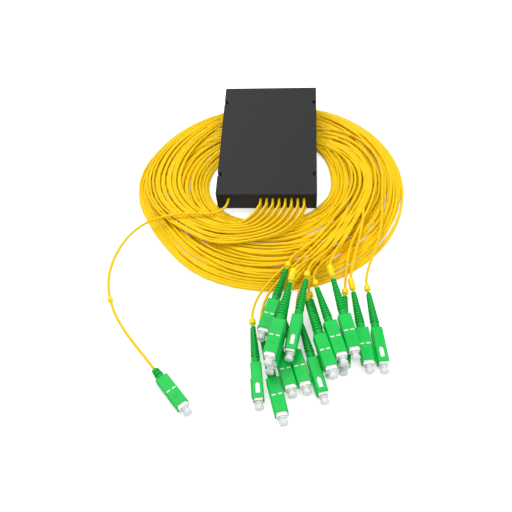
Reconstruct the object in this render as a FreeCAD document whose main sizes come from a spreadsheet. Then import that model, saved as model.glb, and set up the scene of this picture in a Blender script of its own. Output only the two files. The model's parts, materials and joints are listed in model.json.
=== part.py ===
import FreeCAD, Part
import math
import os

import Sketcher
from FreeCAD import Placement, Rotation, Vector

"""1 x 16 PLC fibre splitter: an ABS cassette box with one input lead and sixteen output leads.

Row frame, millimetres: +X to the right, +Z up, the cable ports face -Y. The origin lies on the bench under
the middle of the box. The box rests on the lower edge of its port wall and on the back of the cable coil, so
it slopes by box_tilt. Every plug has its own grip and its own dust cap as separate pieces.
"""

doc = FreeCAD.newDocument("plc_fibre_splitter")
sheet = doc.addObject("Spreadsheet::Sheet", "sizes")

DRIVING_SIZES = (
    # box
    ("box_width", 80.0, "outside width"),
    ("box_length", 120.0, "outside length, port wall to back"),
    ("box_height", 18.0, "outside height with the lid"),
    ("box_tilt", 5.0, "degrees, back of the box raised by the coil"),
    ("wall", 2.0, "side walls of the base"),
    ("floor_thick", 2.0, "floor of the base"),
    ("lid_thick", 2.5, "lid plate"),
    ("edge_round", 0.6, "rounding of the vertical box corners"),
    ("notch_width", 4.0, "mounting notch, across"),
    ("notch_depth", 3.8, "mounting notch, from the side to its round end"),
    ("notch_front", 21.0, "middle of the front notches from the port wall"),
    ("notch_back", 18.0, "middle of the back notches from the back wall"),
    ("lip_thick", 1.2, "locating lip under the lid"),
    ("lip_deep", 1.5, "how far the lip reaches into the base"),
    ("fit_gap", 0.2, "clearance between pieces that fit into each other"),
    # screws from below
    ("post_dia", 7.0, "screw post in the base"),
    ("post_gap", 0.5, "between a screw post and the side wall"),
    ("post_front", 10.0, "front posts behind the middle of the front notches"),
    ("post_back", 8.0, "back posts behind the middle of the back notches"),
    ("screw_dia", 2.4, "self-tapping screw"),
    ("screw_head_dia", 4.6, "screw head"),
    ("screw_head_thick", 1.6, "screw head"),
    ("boss_height", 3.0, "lid boss that the screw bites into"),
    # cables and ports
    ("cable_dia", 2.0, "jacketed cable"),
    ("port_gap", 0.15, "radial clearance of a cable in its port"),
    ("port_pitch", 4.9, "between neighbouring output ports"),
    ("port_first", -4.5, "first output port from the box middle"),
    ("port_input_edge", 10.0, "input port from the left side of the box"),
    ("port_upper", 12.2, "height of the upper ports over the box floor"),
    ("port_lower", 7.2, "height of the lower ports"),
    ("anchor_start", 1.8, "potted anchor behind the port wall's inner face"),
    ("anchor_deep", 6.0, "potted anchor, along the cables"),
    ("anchor_margin", 2.0, "potted anchor to the side walls"),
    ("anchor_cover", 2.0, "potted anchor over the middle of the upper cables"),
    # splitter module
    ("module_length", 60.0, "steel tube"),
    ("module_width", 12.0, "steel tube"),
    ("module_height", 4.0, "steel tube"),
    ("module_wall", 0.5, "steel tube"),
    ("module_front", 34.0, "front end of the tube from the port wall"),
    ("module_rest", 2.0, "saddle height over the box floor"),
    ("saddle_length", 4.0, "saddle, along the module"),
    ("saddle_wall", 1.6, "saddle beside the module"),
    ("saddle_cheek", 2.6, "saddle walls over the module's underside"),
    ("saddle_front", 8.0, "front saddle behind the front end of the tube"),
    ("saddle_back", 12.0, "back saddle before the back end of the tube"),
    ("plug_deep", 3.0, "end plug inside the tube"),
    ("chip_length", 16.0, "PLC chip"),
    ("chip_width", 4.6, "PLC chip"),
    ("chip_height", 2.2, "PLC chip"),
    ("input_array_length", 8.0, "glass block with one groove"),
    ("output_array_length", 10.0, "glass block with sixteen grooves"),
    ("array_overhang", 0.8, "output array wider than the chip"),
    ("ribbon_thick", 0.3, "fibre ribbon"),
    ("tube_dia", 0.9, "loose tube round one fibre"),
    ("tube_pitch", 1.3, "between neighbouring tubes at the module"),
    ("tube_layer", 1.4, "between the two layers of tubes at the module"),
    # coil of cable
    ("coil_x", 2.0, "coil axis"),
    ("coil_y", -36.0, "coil axis"),
    ("coil_inner", 47.0, "inner radius of the coil"),
    ("coil_outer", 107.0, "outer radius of the coil"),
    ("coil_height", 8.4, "highest layer of the coil"),
    ("coil_shoulder", 6.3, "height where the coil's top starts to round off"),
    ("coil_slope", 11.0, "from a rim to the shoulder"),
    ("coil_flat", 18.0, "flat middle of the coil's top"),
    ("coil_edge", 1.8, "height at both rims, one layer of cable"),
    # plug
    ("grip_length", 25.0, "push-pull grip"),
    ("grip_width", 9.0, "wide side"),
    ("grip_height", 7.4, "narrow side"),
    ("grip_chamfer", 0.7, "long edges and rear edge"),
    ("key_width", 2.2, "coding rib"),
    ("key_height", 0.8, "coding rib"),
    ("key_length", 15.0, "coding rib"),
    ("window_length", 8.0, "side window"),
    ("window_width", 3.0, "side window"),
    ("window_start", 14.0, "rear end of the window from the grip's rear"),
    ("window_taper", 1.4, "pointed rear end of the window"),
    ("window_tip", 1.0, "rear end of the window narrower on each side"),
    ("slot_at", 12.0, "the two short cross slots from the grip's rear"),
    ("slot_length", 2.6, "one cross slot"),
    ("slot_width", 0.9, "one cross slot"),
    ("slot_middle", 2.1, "middle of a slot from the grip's middle line"),
    ("nose_recess", 1.2, "wide faces stand back from the side prongs"),
    ("prong_width", 1.4, "side prong at the nose"),
    ("frame_width", 7.2, "inner plug frame"),
    ("frame_height", 5.6, "inner plug frame"),
    ("frame_start", 4.0, "rear of the plug frame from the grip's rear"),
    ("frame_proud", 1.4, "plug frame in front of the grip"),
    ("slide_gap", 0.15, "clearance between grip and plug frame"),
    ("ferrule_dia", 2.5, "ceramic ferrule"),
    ("ferrule_back", 12.0, "ferrule behind the front of the plug frame"),
    ("ferrule_flange_dia", 3.8, "metal flange of the ferrule"),
    ("ferrule_flange_deep", 3.0, "metal flange of the ferrule"),
    ("socket_dia", 5.0, "round hollow in the nose of the plug frame"),
    ("socket_deep", 8.0, "round hollow in the nose of the plug frame"),
    ("crimp_dia", 4.2, "crimp body behind the plug frame"),
    ("crimp_length", 5.0, "crimp body"),
    ("crimp_gap", 0.1, "clearance between crimp body and plug frame"),
    # boots
    ("boot_length", 30.0, "long boot behind the grip"),
    ("boot_short", 9.0, "boot of the input lead"),
    ("boot_root_dia", 5.6, "boot inside the rear of the grip"),
    ("boot_root_deep", 3.5, "boot inside the rear of the grip"),
    ("boot_tip_dia", 3.6, "thin end of the long boot"),
    ("boot_short_tip", 4.6, "thin end of the short boot"),
    ("rear_opening_dia", 6.3, "round opening at the rear of the grip"),
    # dust cap
    ("cap_skirt_dia", 4.6, "skirt inside the plug frame"),
    ("cap_skirt_deep", 6.0, "skirt inside the plug frame"),
    ("cap_bore_dia", 2.7, "bore over the ferrule"),
    ("cap_bore_past", 0.8, "bore past the ferrule's end"),
    ("cap_collar_dia", 5.8, "collar at the plug frame"),
    ("cap_neck_dia", 4.4, "waist of the cap"),
    ("cap_head_dia", 5.8, "pull-off head"),
    ("cap_collar_deep", 1.6, "collar"),
    ("cap_neck_deep", 2.6, "waist"),
    ("cap_head_deep", 2.6, "head"),
    ("cap_gap", 0.4, "cap collar in front of the plug frame"),
    # marker rings
    ("marker_dia", 4.0, "marker ring on a cable"),
    ("marker_length", 4.0, "marker ring on a cable"),
    ("marker_gap", 0.05, "clearance of a marker ring on its cable"),
    ("marker_from_boot", 3.0, "marker ring behind the boot"),
    ("lead_stub", 12.0, "straight stretch of a lead behind its boot"),
)

for row_number, (alias, number, note) in enumerate(DRIVING_SIZES, start=1):
    sheet.set(f"A{row_number}", alias)
    sheet.set(f"B{row_number}", str(number))
    sheet.set(f"C{row_number}", note)
    sheet.setAlias(f"B{row_number}", alias)
doc.recompute()


def size(alias):
    """Value of one driving dimension."""
    return float(sheet.get(alias))


def origin_plane(body, role):
    """One of a body's own base planes: XY_Plane, XZ_Plane or YZ_Plane."""
    return next(feature for feature in body.Origin.OriginFeatures if feature.Role == role)


def new_sketch(body, name, role, lift):
    """Empty sketch on a body's base plane, lifted along the plane's normal by the expression lift."""
    sketch = body.newObject("Sketcher::SketchObject", name)
    sketch.AttachmentSupport = [(origin_plane(body, role), "")]
    sketch.MapMode = "FlatFace"
    if lift:
        sketch.setExpression("AttachmentOffset.Base.z", lift)
    return sketch


def bind(sketch, kind, expression, *elements):
    """Add one dimension to a sketch and tie it to an expression."""
    index = sketch.addConstraint(Sketcher.Constraint(kind, *elements, 1.0))
    sketch.setExpression(f"Constraints[{index}]", expression)


def outline(body, name, role, *loops, lift=None):
    """Sketch of closed outlines, each a list of corners given as pairs of expressions."""
    sketch = new_sketch(body, name, role, lift)
    first = 0
    for corners in loops:
        count = len(corners)
        turn = 2 * math.pi / count
        start = [Vector(math.cos(turn * i), math.sin(turn * i), 0) for i in range(count)]
        for i in range(count):
            sketch.addGeometry(Part.LineSegment(start[i], start[(i + 1) % count]), False)
        for i, (across, along) in enumerate(corners):
            link = Sketcher.Constraint("Coincident", first + i, 2, first + (i + 1) % count, 1)
            sketch.addConstraint(link)
            bind(sketch, "DistanceX", across, -1, 1, first + i, 1)
            bind(sketch, "DistanceY", along, -1, 1, first + i, 1)
        first += count
    return sketch


def rounds(body, name, role, circles, lift=None):
    """Sketch of circles, each given as expressions for its middle and its radius."""
    sketch = new_sketch(body, name, role, lift)
    for i, (across, along, radius) in enumerate(circles):
        sketch.addGeometry(Part.Circle(Vector(i, 0, 0), Vector(0, 0, 1), 0.4), False)
        bind(sketch, "DistanceX", across, -1, 1, i, 3)
        bind(sketch, "DistanceY", along, -1, 1, i, 3)
        bind(sketch, "Radius", radius, i)
    return sketch


def rectangle(left, right, low, high):
    """Corners of a rectangle, as expressions."""
    return [(left, low), (right, low), (right, high), (left, high)]


def chamfered(half_width, half_height, cut, middle="0"):
    """Corners of a rectangle round the axis with its four corners cut off."""
    low = f"{middle} - ({half_height})"
    high = f"{middle} + ({half_height})"
    left = f"-({half_width})"
    return [(f"{left} + {cut}", low), (f"{half_width} - {cut}", low),
            (half_width, f"{low} + {cut}"), (half_width, f"{high} - {cut}"),
            (f"{half_width} - {cut}", high), (f"{left} + {cut}", high),
            (left, f"{high} - {cut}"), (left, f"{low} + {cut}")]


def pad(body, sketch, length, down=False):
    """Raise a sketch into a solid."""
    feature = body.newObject("PartDesign::Pad", f"{sketch.Name}_pad")
    feature.Profile = sketch
    feature.Reversed = down
    feature.setExpression("Length", length)
    doc.recompute()
    return feature


def pocket(body, sketch, length=None, flip=False):
    """Cut a sketch out of its body, to a length or, without one, through everything both ways."""
    before = body.Shape.Volume
    feature = body.newObject("PartDesign::Pocket", f"{sketch.Name}_cut")
    feature.Profile = sketch
    if length:
        feature.Reversed = flip
        feature.setExpression("Length", length)
    else:
        feature.Type = "ThroughAll"
        feature.Midplane = True
    doc.recompute()
    if body.Shape.Volume > before - 0.01:
        raise RuntimeError(f"{sketch.Name} cuts nothing")
    return feature


def turned(name, profile):
    """Body of revolution about X from (along, radius) corners."""
    body = doc.addObject("PartDesign::Body", name)
    sketch = outline(body, f"{name}_profile", "XY_Plane", profile)
    feature = body.newObject("PartDesign::Revolution", f"{name}_turn")
    feature.Profile = sketch
    feature.ReferenceAxis = (sketch, ["H_Axis"])
    feature.Angle = 360
    doc.recompute()
    return body


def block(name, length, width, height, corner):
    """Part::Box whose sizes and lowest corner are expressions."""
    box = doc.addObject("Part::Box", name)
    for prop, expression in zip(("Length", "Width", "Height"), (length, width, height)):
        box.setExpression(prop, expression)
    for axis, expression in zip("xyz", corner):
        box.setExpression(f"Placement.Base.{axis}", expression)
    return box


def difference(name, base, tool):
    """Part::Cut of one object by another."""
    cut = doc.addObject("Part::Cut", name)
    cut.Base = base
    cut.Tool = tool
    return cut


NODES = {}


def node(label, pieces, placement=Placement()):
    """Sub-part of the product: its pieces, put in place together. The label names its file."""
    group = doc.addObject("Part::Compound", label)
    group.Label = label
    group.Links = pieces
    group.Placement = placement
    NODES[label] = group
    return group


def placed(name, source, placement):
    """Copy of a finished piece at another place."""
    copy = doc.addObject("Part::Compound", name)
    copy.Links = [source]
    copy.Placement = placement
    return copy


# ---------------------------------------------------------------- cords

def rounded_path(points, diameter, name, least=5.0):
    """Wire of straight runs joined by tangent arcs, each as large as its two runs allow."""
    edges = []
    last = points[0]
    radii = []
    for before, corner, after in zip(points, points[1:], points[2:]):
        incoming = (corner - before)
        outgoing = (after - corner)
        shorter = min(incoming.Length, outgoing.Length)
        turn = incoming.getAngle(outgoing)
        reach = 0.45 * shorter
        radius = reach / math.tan(turn / 2)
        radii.append(radius)
        start = corner - Vector(incoming).normalize() * reach
        finish = corner + Vector(outgoing).normalize() * reach
        bisector = (Vector(outgoing).normalize() - Vector(incoming).normalize()).normalize()
        middle = corner + bisector * (radius / math.cos(turn / 2) - radius)
        edges.append(Part.LineSegment(last, start).toShape())
        edges.append(Part.Arc(start, middle, finish).toShape())
        last = finish
    edges.append(Part.LineSegment(last, points[-1]).toShape())
    smallest = min(radii)
    print(f"{name}: smallest bend radius {smallest:.1f} mm, {len(radii)} bends")
    if smallest < least * diameter:
        print(f"{name}: tighter than {least:.0f} diameters")
    return Part.Wire(edges)


def cord(name, points, diameter, least=5.0):
    """Solid cord of one diameter along a rounded path."""
    path = rounded_path(points, diameter, name, least)
    ring = Part.Circle(points[0], points[1] - points[0], diameter / 2)
    section = Part.Wire([ring.toShape()])
    solid = path.makePipeShell([section], True, False)
    expected = math.pi * diameter ** 2 / 4 * path.Length
    if abs(solid.Volume / expected - 1) > 0.01:
        raise RuntimeError(f"{name}: volume {solid.Volume:.1f}, section times length {expected:.1f}")
    feature = doc.addObject("Part::Feature", name)
    feature.Shape = solid
    return feature


# ---------------------------------------------------------------- box

def box_frame():
    """Where the box's own frame lies: x across, y back from the port wall, z up from its floor."""
    slope = math.radians(size("box_tilt"))
    front = (size("box_height") * math.sin(slope) - size("box_length") * math.cos(slope)) / 2
    return Placement(Vector(0, front, 0), Rotation(Vector(1, 0, 0), size("box_tilt")))


BOX = box_frame()
HALF = "sizes.box_width / 2"
BASE_TOP = "sizes.box_height - sizes.lid_thick"
NOTCH_ROWS = ("sizes.notch_front", "sizes.box_length - sizes.notch_back")
POST_X = "(sizes.box_width / 2 - sizes.wall - sizes.post_dia / 2 - sizes.post_gap)"
POST_ROWS = ("sizes.notch_front + sizes.post_front", "sizes.box_length - sizes.notch_back + sizes.post_back")
POSTS = tuple((f"{side} * {POST_X}", row) for side in (1, -1) for row in POST_ROWS)
PORT_INPUT = "-(sizes.box_width / 2 - sizes.port_input_edge)"


def box_outline():
    """Plan of the box with its corners cut back a little."""
    cut = "sizes.edge_round"
    back = "sizes.box_length"
    return [(f"-{HALF} + {cut}", "0"), (f"{HALF} - {cut}", "0"), (HALF, cut), (HALF, f"{back} - {cut}"),
            (f"{HALF} - {cut}", back), (f"-{HALF} + {cut}", back), (f"-{HALF}", f"{back} - {cut}"),
            (f"-{HALF}", cut)]


def cut_notches(body, tag):
    """Four mounting notches, open to the long sides and round at their inner ends."""
    slots = []
    ends = []
    for side in (1, -1):
        for row in NOTCH_ROWS:
            outer = f"{side} * ({HALF} + 1)"
            inner = f"{side} * ({HALF} - sizes.notch_depth + sizes.notch_width / 2)"
            low = f"{row} - sizes.notch_width / 2"
            high = f"{row} + sizes.notch_width / 2"
            slots.append(rectangle(inner, outer, low, high))
            ends.append((inner, row, "sizes.notch_width / 2"))
    pocket(body, outline(body, f"{tag}_slots", "XY_Plane", *slots))
    pocket(body, rounds(body, f"{tag}_ends", "XY_Plane", ends))


def make_base():
    """Base shell: tray with port wall, notch columns, screw posts and two module saddles."""
    body = doc.addObject("PartDesign::Body", "base_body")
    pad(body, outline(body, "base_plan", "XY_Plane", box_outline()), BASE_TOP)

    inner = f"{HALF} - sizes.wall"
    column = f"{HALF} - sizes.notch_depth - sizes.wall"
    half_column = "(sizes.notch_width / 2 + sizes.wall)"
    right = [(inner, "sizes.wall")]
    for row in NOTCH_ROWS:
        right += [(inner, f"{row} - {half_column}"), (column, f"{row} - {half_column} + 1"),
                  (column, f"{row} + {half_column} - 1"), (inner, f"{row} + {half_column}")]
    right.append((inner, "sizes.box_length - sizes.wall"))
    left = [(f"-({across})", along) for across, along in reversed(right)]
    hollow = outline(body, "base_hollow", "XY_Plane", right + left, lift="sizes.floor_thick")
    pocket(body, hollow, "sizes.box_height", flip=True)

    post_height = f"{BASE_TOP} - sizes.floor_thick - sizes.boss_height - sizes.fit_gap"
    pad(body, rounds(body, "base_posts", "XY_Plane", [(x, y, "sizes.post_dia / 2") for x, y in POSTS],
                     lift="sizes.floor_thick - 0.1"), post_height)
    hole = "sizes.screw_dia / 2 + sizes.fit_gap"
    pocket(body, rounds(body, "base_screw_holes", "XY_Plane", [(x, y, hole) for x, y in POSTS]))
    head = "sizes.screw_head_dia / 2 + sizes.fit_gap"
    pocket(body, rounds(body, "base_head_holes", "XY_Plane", [(x, y, head) for x, y in POSTS]),
           "sizes.screw_head_thick + sizes.fit_gap", flip=True)
    cut_notches(body, "base")

    saddle_half = "(sizes.module_width / 2 + sizes.saddle_wall)"
    saddle_rows = ("sizes.module_front + sizes.saddle_front",
                   "sizes.module_front + sizes.module_length - sizes.saddle_back")
    saddles = [rectangle(f"{MODULE_X} - {saddle_half}", f"{MODULE_X} + {saddle_half}", row,
                         f"{row} + sizes.saddle_length") for row in saddle_rows]
    pad(body, outline(body, "base_saddles", "XY_Plane", *saddles, lift="sizes.floor_thick - 0.1"),
        "sizes.module_rest + sizes.saddle_cheek")
    seat = "(sizes.module_width / 2 + sizes.fit_gap)"
    seats = [rectangle(f"{MODULE_X} - {seat}", f"{MODULE_X} + {seat}", f"{row} - 0.5",
                       f"{row} + sizes.saddle_length + 0.5") for row in saddle_rows]
    pocket(body, outline(body, "base_seats", "XY_Plane", *seats,
                         lift="sizes.floor_thick + sizes.module_rest"), "sizes.module_height", flip=True)

    radius = "sizes.cable_dia / 2 + sizes.port_gap"
    depth = "sizes.wall + 0.5"
    entry = rounds(body, "base_input_port", "XZ_Plane", [(PORT_INPUT, "sizes.port_upper", radius)])
    pocket(body, entry, depth)
    pair = rounds(body, "base_port_pair", "XZ_Plane",
                  [("sizes.port_first", "sizes.port_upper", radius),
                   ("sizes.port_first", "sizes.port_lower", radius)])
    ports = pocket(body, pair, depth)
    row = body.newObject("PartDesign::LinearPattern", "base_ports")
    row.Originals = [ports]
    row.Direction = (pair, ["H_Axis"])
    row.setExpression("Length", f"sizes.port_pitch * {OUTPUT_COLUMNS - 1}")
    row.Occurrences = OUTPUT_COLUMNS
    body.Tip = row
    node("base_shell", [body], BOX)


def make_lid():
    """Lid: plate with a locating lip in four stretches and four bosses for the screws."""
    body = doc.addObject("PartDesign::Body", "lid_body")
    pad(body, outline(body, "lid_plan", "XY_Plane", box_outline(), lift=BASE_TOP), "sizes.lid_thick")
    bosses = rounds(body, "lid_bosses", "XY_Plane", [(x, y, "sizes.post_dia / 2") for x, y in POSTS],
                    lift=f"{BASE_TOP} + 0.1")
    pad(body, bosses, "sizes.boss_height + 0.1", down=True)
    outer = f"({HALF} - sizes.wall - sizes.fit_gap)"
    inner = f"({HALF} - sizes.wall - sizes.fit_gap - sizes.lip_thick)"
    ends = ("sizes.wall + sizes.fit_gap", "sizes.box_length - sizes.wall - sizes.fit_gap - sizes.lip_thick")
    lips = [rectangle(f"-{inner}", inner, low, f"{low} + sizes.lip_thick") for low in ends]
    low = f"{POST_ROWS[0]} + sizes.post_dia"
    high = f"{NOTCH_ROWS[1]} - sizes.notch_width - sizes.wall"
    lips += [rectangle(inner, outer, low, high), rectangle(f"-{outer}", f"-{inner}", low, high)]
    pad(body, outline(body, "lid_lips", "XY_Plane", *lips, lift=f"{BASE_TOP} + 0.1"),
        "sizes.lip_deep + 0.1", down=True)
    pilot = rounds(body, "lid_pilots", "XY_Plane", [(x, y, "sizes.screw_dia / 2") for x, y in POSTS],
                   lift=f"{BASE_TOP} - sizes.boss_height")
    pocket(body, pilot, "sizes.boss_height + 1", flip=True)
    cut_notches(body, "lid")
    node("lid", [body], BOX)


def make_screws():
    """Four self-tapping screws, heads sunk in the base's underside, tips in the lid's bosses."""
    tip = f"{BASE_TOP} + 0.5"
    under = "sizes.fit_gap"
    neck = f"{under} + sizes.screw_head_thick"
    screw = turned("screw_master", [(under, "0"), (tip, "0"), (tip, "sizes.screw_dia / 2"),
                                    (neck, "sizes.screw_dia / 2"), (neck, "sizes.screw_head_dia / 2"),
                                    (under, "sizes.screw_head_dia / 2")])
    upright = Placement(Vector(0, 0, 0), Rotation(Vector(0, 1, 0), -90))
    copies = []
    for number, (across, along) in enumerate(POSTS):
        copy = placed(f"screw_{number}", screw, upright)
        copy.setExpression("Placement.Base.x", across)
        copy.setExpression("Placement.Base.y", along)
        copies.append(copy)
    node("lid_screws", copies, BOX)


# ---------------------------------------------------------------- inside the box

OUTPUT_COLUMNS = 8
MODULE_X = f"(sizes.port_first + sizes.port_pitch * {(OUTPUT_COLUMNS - 1) / 2})"
MODULE_LOW = "sizes.floor_thick + sizes.module_rest"


def make_module():
    """Splitter module: steel tube with the chip between its two fibre arrays, and an end plug at each end."""
    tube = block("tube_outer", "sizes.module_width", "sizes.module_length", "sizes.module_height",
                 (f"{MODULE_X} - sizes.module_width / 2", "sizes.module_front", MODULE_LOW))
    bore_width = "(sizes.module_width - 2 * sizes.module_wall)"
    bore_height = "(sizes.module_height - 2 * sizes.module_wall)"
    bore_low = f"{MODULE_LOW} + sizes.module_wall"
    bore_left = f"{MODULE_X} - {bore_width} / 2"
    bore = block("tube_bore", bore_width, "sizes.module_length + 2", bore_height,
                 (bore_left, "sizes.module_front - 1", bore_low))
    node("module_tube", [difference("tube_cut", tube, bore)], BOX)

    far = "sizes.module_front + sizes.module_length - sizes.plug_deep"
    plugs = [block(f"plug_{i}", bore_width, "sizes.plug_deep", bore_height, (bore_left, start, bore_low))
             for i, start in enumerate(("sizes.module_front", far))]
    node("module_end_plugs", plugs, BOX)

    def centred(name, start, length, width, height):
        """Block on the floor of the tube, centred across it."""
        corner = (f"{MODULE_X} - {width} / 2", start, bore_low)
        node(name, [block(f"{name}_block", width, length, height, corner)], BOX)

    chip_start = "(sizes.module_front + sizes.module_length / 2)"
    centred("plc_chip", chip_start, "sizes.chip_length", "sizes.chip_width", "sizes.chip_height")
    centred("output_array", f"{chip_start} - sizes.output_array_length", "sizes.output_array_length",
            "(sizes.chip_width + sizes.array_overhang)", "sizes.chip_height")
    centred("input_array", f"{chip_start} + sizes.chip_length", "sizes.input_array_length",
            "sizes.chip_width", "sizes.chip_height")
    ribbon_start = "(sizes.module_front + sizes.plug_deep)"
    centred("fibre_ribbon", ribbon_start, f"{chip_start} - sizes.output_array_length - {ribbon_start}",
            "sizes.chip_width", "sizes.ribbon_thick")


def make_anchor():
    """Potted block behind the port wall in which the cable jackets end."""
    margin = "(sizes.wall + sizes.anchor_margin)"
    start = "(sizes.wall + sizes.anchor_start)"
    bar = block("anchor_block", f"sizes.box_width - 2 * {margin}", "sizes.anchor_deep",
                "sizes.port_upper + sizes.anchor_cover - sizes.floor_thick",
                (f"-{HALF} + {margin}", start, "sizes.floor_thick"))
    node("cable_anchor", [bar], BOX)


def port_x(column):
    """Middle of one column of output ports."""
    return size("port_first") + size("port_pitch") * column


def input_port_x():
    """Middle of the input port."""
    return size("port_input_edge") - size("box_width") / 2


def make_inner_fibres():
    """Loose tubes inside the box: the input fibre's loop and the fan of sixteen output tubes."""
    middle = port_x((OUTPUT_COLUMNS - 1) / 2)
    anchor_back = size("wall") + size("anchor_start") + size("anchor_deep")
    module_low = size("floor_thick") + size("module_rest")
    module_mid = module_low + size("module_height") / 2
    module_back = size("module_front") + size("module_length")
    tube = size("tube_dia")
    left = input_port_x()
    run = module_back - anchor_back
    room = size("box_length") - size("wall") - module_back
    across = middle - left
    loop = [Vector(left, anchor_back, size("port_upper")),
            Vector(left, anchor_back + run * 0.14, size("port_upper")),
            Vector(left + across * 0.025, anchor_back + run * 0.33, module_mid + 1.5),
            Vector(left + across * 0.05, anchor_back + run * 0.5, module_mid),
            Vector(left + across * 0.06, module_back - room * 0.25, module_mid),
            Vector(left + across * 0.21, module_back + room * 0.67, module_mid),
            Vector(left + across * 0.55, module_back + room * 0.87, module_mid),
            Vector(left + across * 0.88, module_back + room * 0.79, module_mid),
            Vector(middle, module_back + room * 0.5, module_mid),
            Vector(middle, module_back, module_mid)]
    node("input_fibre", [cord("input_fibre_tube", loop, tube)], BOX)

    between = Part.makeBox(size("box_width"), size("module_front") - anchor_back, size("box_height"),
                           Vector(-size("box_width") / 2, anchor_back, 0))
    fan = []
    for layer, height in enumerate((size("port_upper"), size("port_lower"))):
        for column in range(OUTPUT_COLUMNS):
            offset = (column - (OUTPUT_COLUMNS - 1) / 2) * size("tube_pitch")
            lift = size("tube_layer") * (0.5 - layer)
            start = Vector(middle + offset, size("module_front"), module_mid + lift)
            direction = Vector(port_x(column), anchor_back, height) - start
            spare = Vector(direction).normalize() * tube
            stick = Part.makeCylinder(tube / 2, (direction + spare * 2).Length, start - spare, direction)
            feature = doc.addObject("Part::Feature", f"fan_{layer}_{column}")
            feature.Shape = stick.common(between)
            fan.append(feature)
    node("fan_out_tubes", fan, BOX)


# ---------------------------------------------------------------- plug

FRAME_FRONT = "(sizes.grip_length + sizes.frame_proud)"
BORE_START = "(sizes.frame_start - sizes.fit_gap)"


def make_grip_master():
    """Push-pull grip: chamfered tube with coding rib, side windows, cross slots and nose prongs."""
    body = doc.addObject("PartDesign::Body", "grip_master")
    half_wide = "sizes.grip_width / 2"
    half_high = "sizes.grip_height / 2"
    pad(body, outline(body, "grip_plan", "YZ_Plane", chamfered(half_wide, half_high, "sizes.grip_chamfer")),
        "sizes.grip_length")
    rib = rectangle("-sizes.key_width / 2", "sizes.key_width / 2",
                    f"-({half_high} + sizes.key_height)", f"-({half_high} - 0.2)")
    pad(body, outline(body, "grip_rib", "YZ_Plane", rib, lift="sizes.grip_length - sizes.key_length"),
        "sizes.key_length")
    bore_wide = "(sizes.frame_width / 2 + sizes.slide_gap)"
    bore_high = "(sizes.frame_height / 2 + sizes.slide_gap)"
    bore = rectangle(f"-{bore_wide}", bore_wide, f"-{bore_high}", bore_high)
    pocket(body, outline(body, "grip_bore", "YZ_Plane", bore, lift=BORE_START), "sizes.grip_length",
           flip=True)
    pocket(body, rounds(body, "grip_rear", "YZ_Plane", [("0", "0", "sizes.rear_opening_dia / 2")]),
           "sizes.frame_start", flip=True)
    start = "sizes.window_start"
    finish = "sizes.window_start + sizes.window_length"
    half = "sizes.window_width / 2"
    shoulder = f"{start} + sizes.window_taper"
    window = [(start, f"-{half} + sizes.window_tip"), (shoulder, f"-{half}"), (finish, f"-{half}"),
              (finish, half), (shoulder, half), (start, f"{half} - sizes.window_tip")]
    pocket(body, outline(body, "grip_windows", "XZ_Plane", window))
    slots = []
    for side in (1, -1):
        near = f"{side} * sizes.slot_middle - sizes.slot_length / 2"
        far = f"{side} * sizes.slot_middle + sizes.slot_length / 2"
        slots.append(rectangle("sizes.slot_at - sizes.slot_width / 2", "sizes.slot_at + sizes.slot_width / 2",
                               near, far))
    pocket(body, outline(body, "grip_slots", "XY_Plane", *slots))
    nose = rectangle("sizes.grip_length - sizes.nose_recess", "sizes.grip_length + 1",
                     f"-({half_wide} - sizes.prong_width)", f"{half_wide} - sizes.prong_width")
    pocket(body, outline(body, "grip_nose", "XY_Plane", nose))
    return body


def make_frame_master():
    """Inner plug frame: square tube with a round hollow at the nose for ferrule and cap."""
    body = doc.addObject("PartDesign::Body", "frame_master")
    plan = rectangle("-sizes.frame_width / 2", "sizes.frame_width / 2",
                     "-sizes.frame_height / 2", "sizes.frame_height / 2")
    pad(body, outline(body, "frame_plan", "YZ_Plane", plan, lift="sizes.frame_start"),
        f"{FRAME_FRONT} - sizes.frame_start")
    bore = "sizes.crimp_dia / 2 + sizes.crimp_gap"
    pocket(body, rounds(body, "frame_bore", "YZ_Plane", [("0", "0", bore)]))
    pocket(body, rounds(body, "frame_socket", "YZ_Plane", [("0", "0", "sizes.socket_dia / 2")],
                        lift=f"{FRAME_FRONT} - sizes.socket_deep"), "sizes.socket_deep + 1", flip=True)
    return body


def make_ferrule_master():
    """Ceramic ferrule in its metal flange."""
    rear = f"{FRAME_FRONT} - sizes.ferrule_back"
    step = f"{rear} + sizes.ferrule_flange_deep"
    return turned("ferrule_master", [(rear, "0"), (FRAME_FRONT, "0"), (FRAME_FRONT, "sizes.ferrule_dia / 2"),
                                     (step, "sizes.ferrule_dia / 2"), (step, "sizes.ferrule_flange_dia / 2"),
                                     (rear, "sizes.ferrule_flange_dia / 2")])


def make_crimp_master():
    """Crimp body that holds the cable's strength members behind the plug frame."""
    start = "sizes.boot_root_deep"
    finish = f"{start} + sizes.crimp_length"
    return turned("crimp_master", [(start, "0"), (finish, "0"), (finish, "sizes.crimp_dia / 2"),
                                   (start, "sizes.crimp_dia / 2")])


def make_boot_master(name, length, tip):
    """Tapering bend-relief boot; the thin end lies at minus length."""
    root = "sizes.boot_root_deep"
    return turned(name, [(f"-{length}", "0"), (root, "0"), (root, "sizes.boot_root_dia / 2"),
                         (f"-{length}", f"{tip} / 2")])


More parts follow.
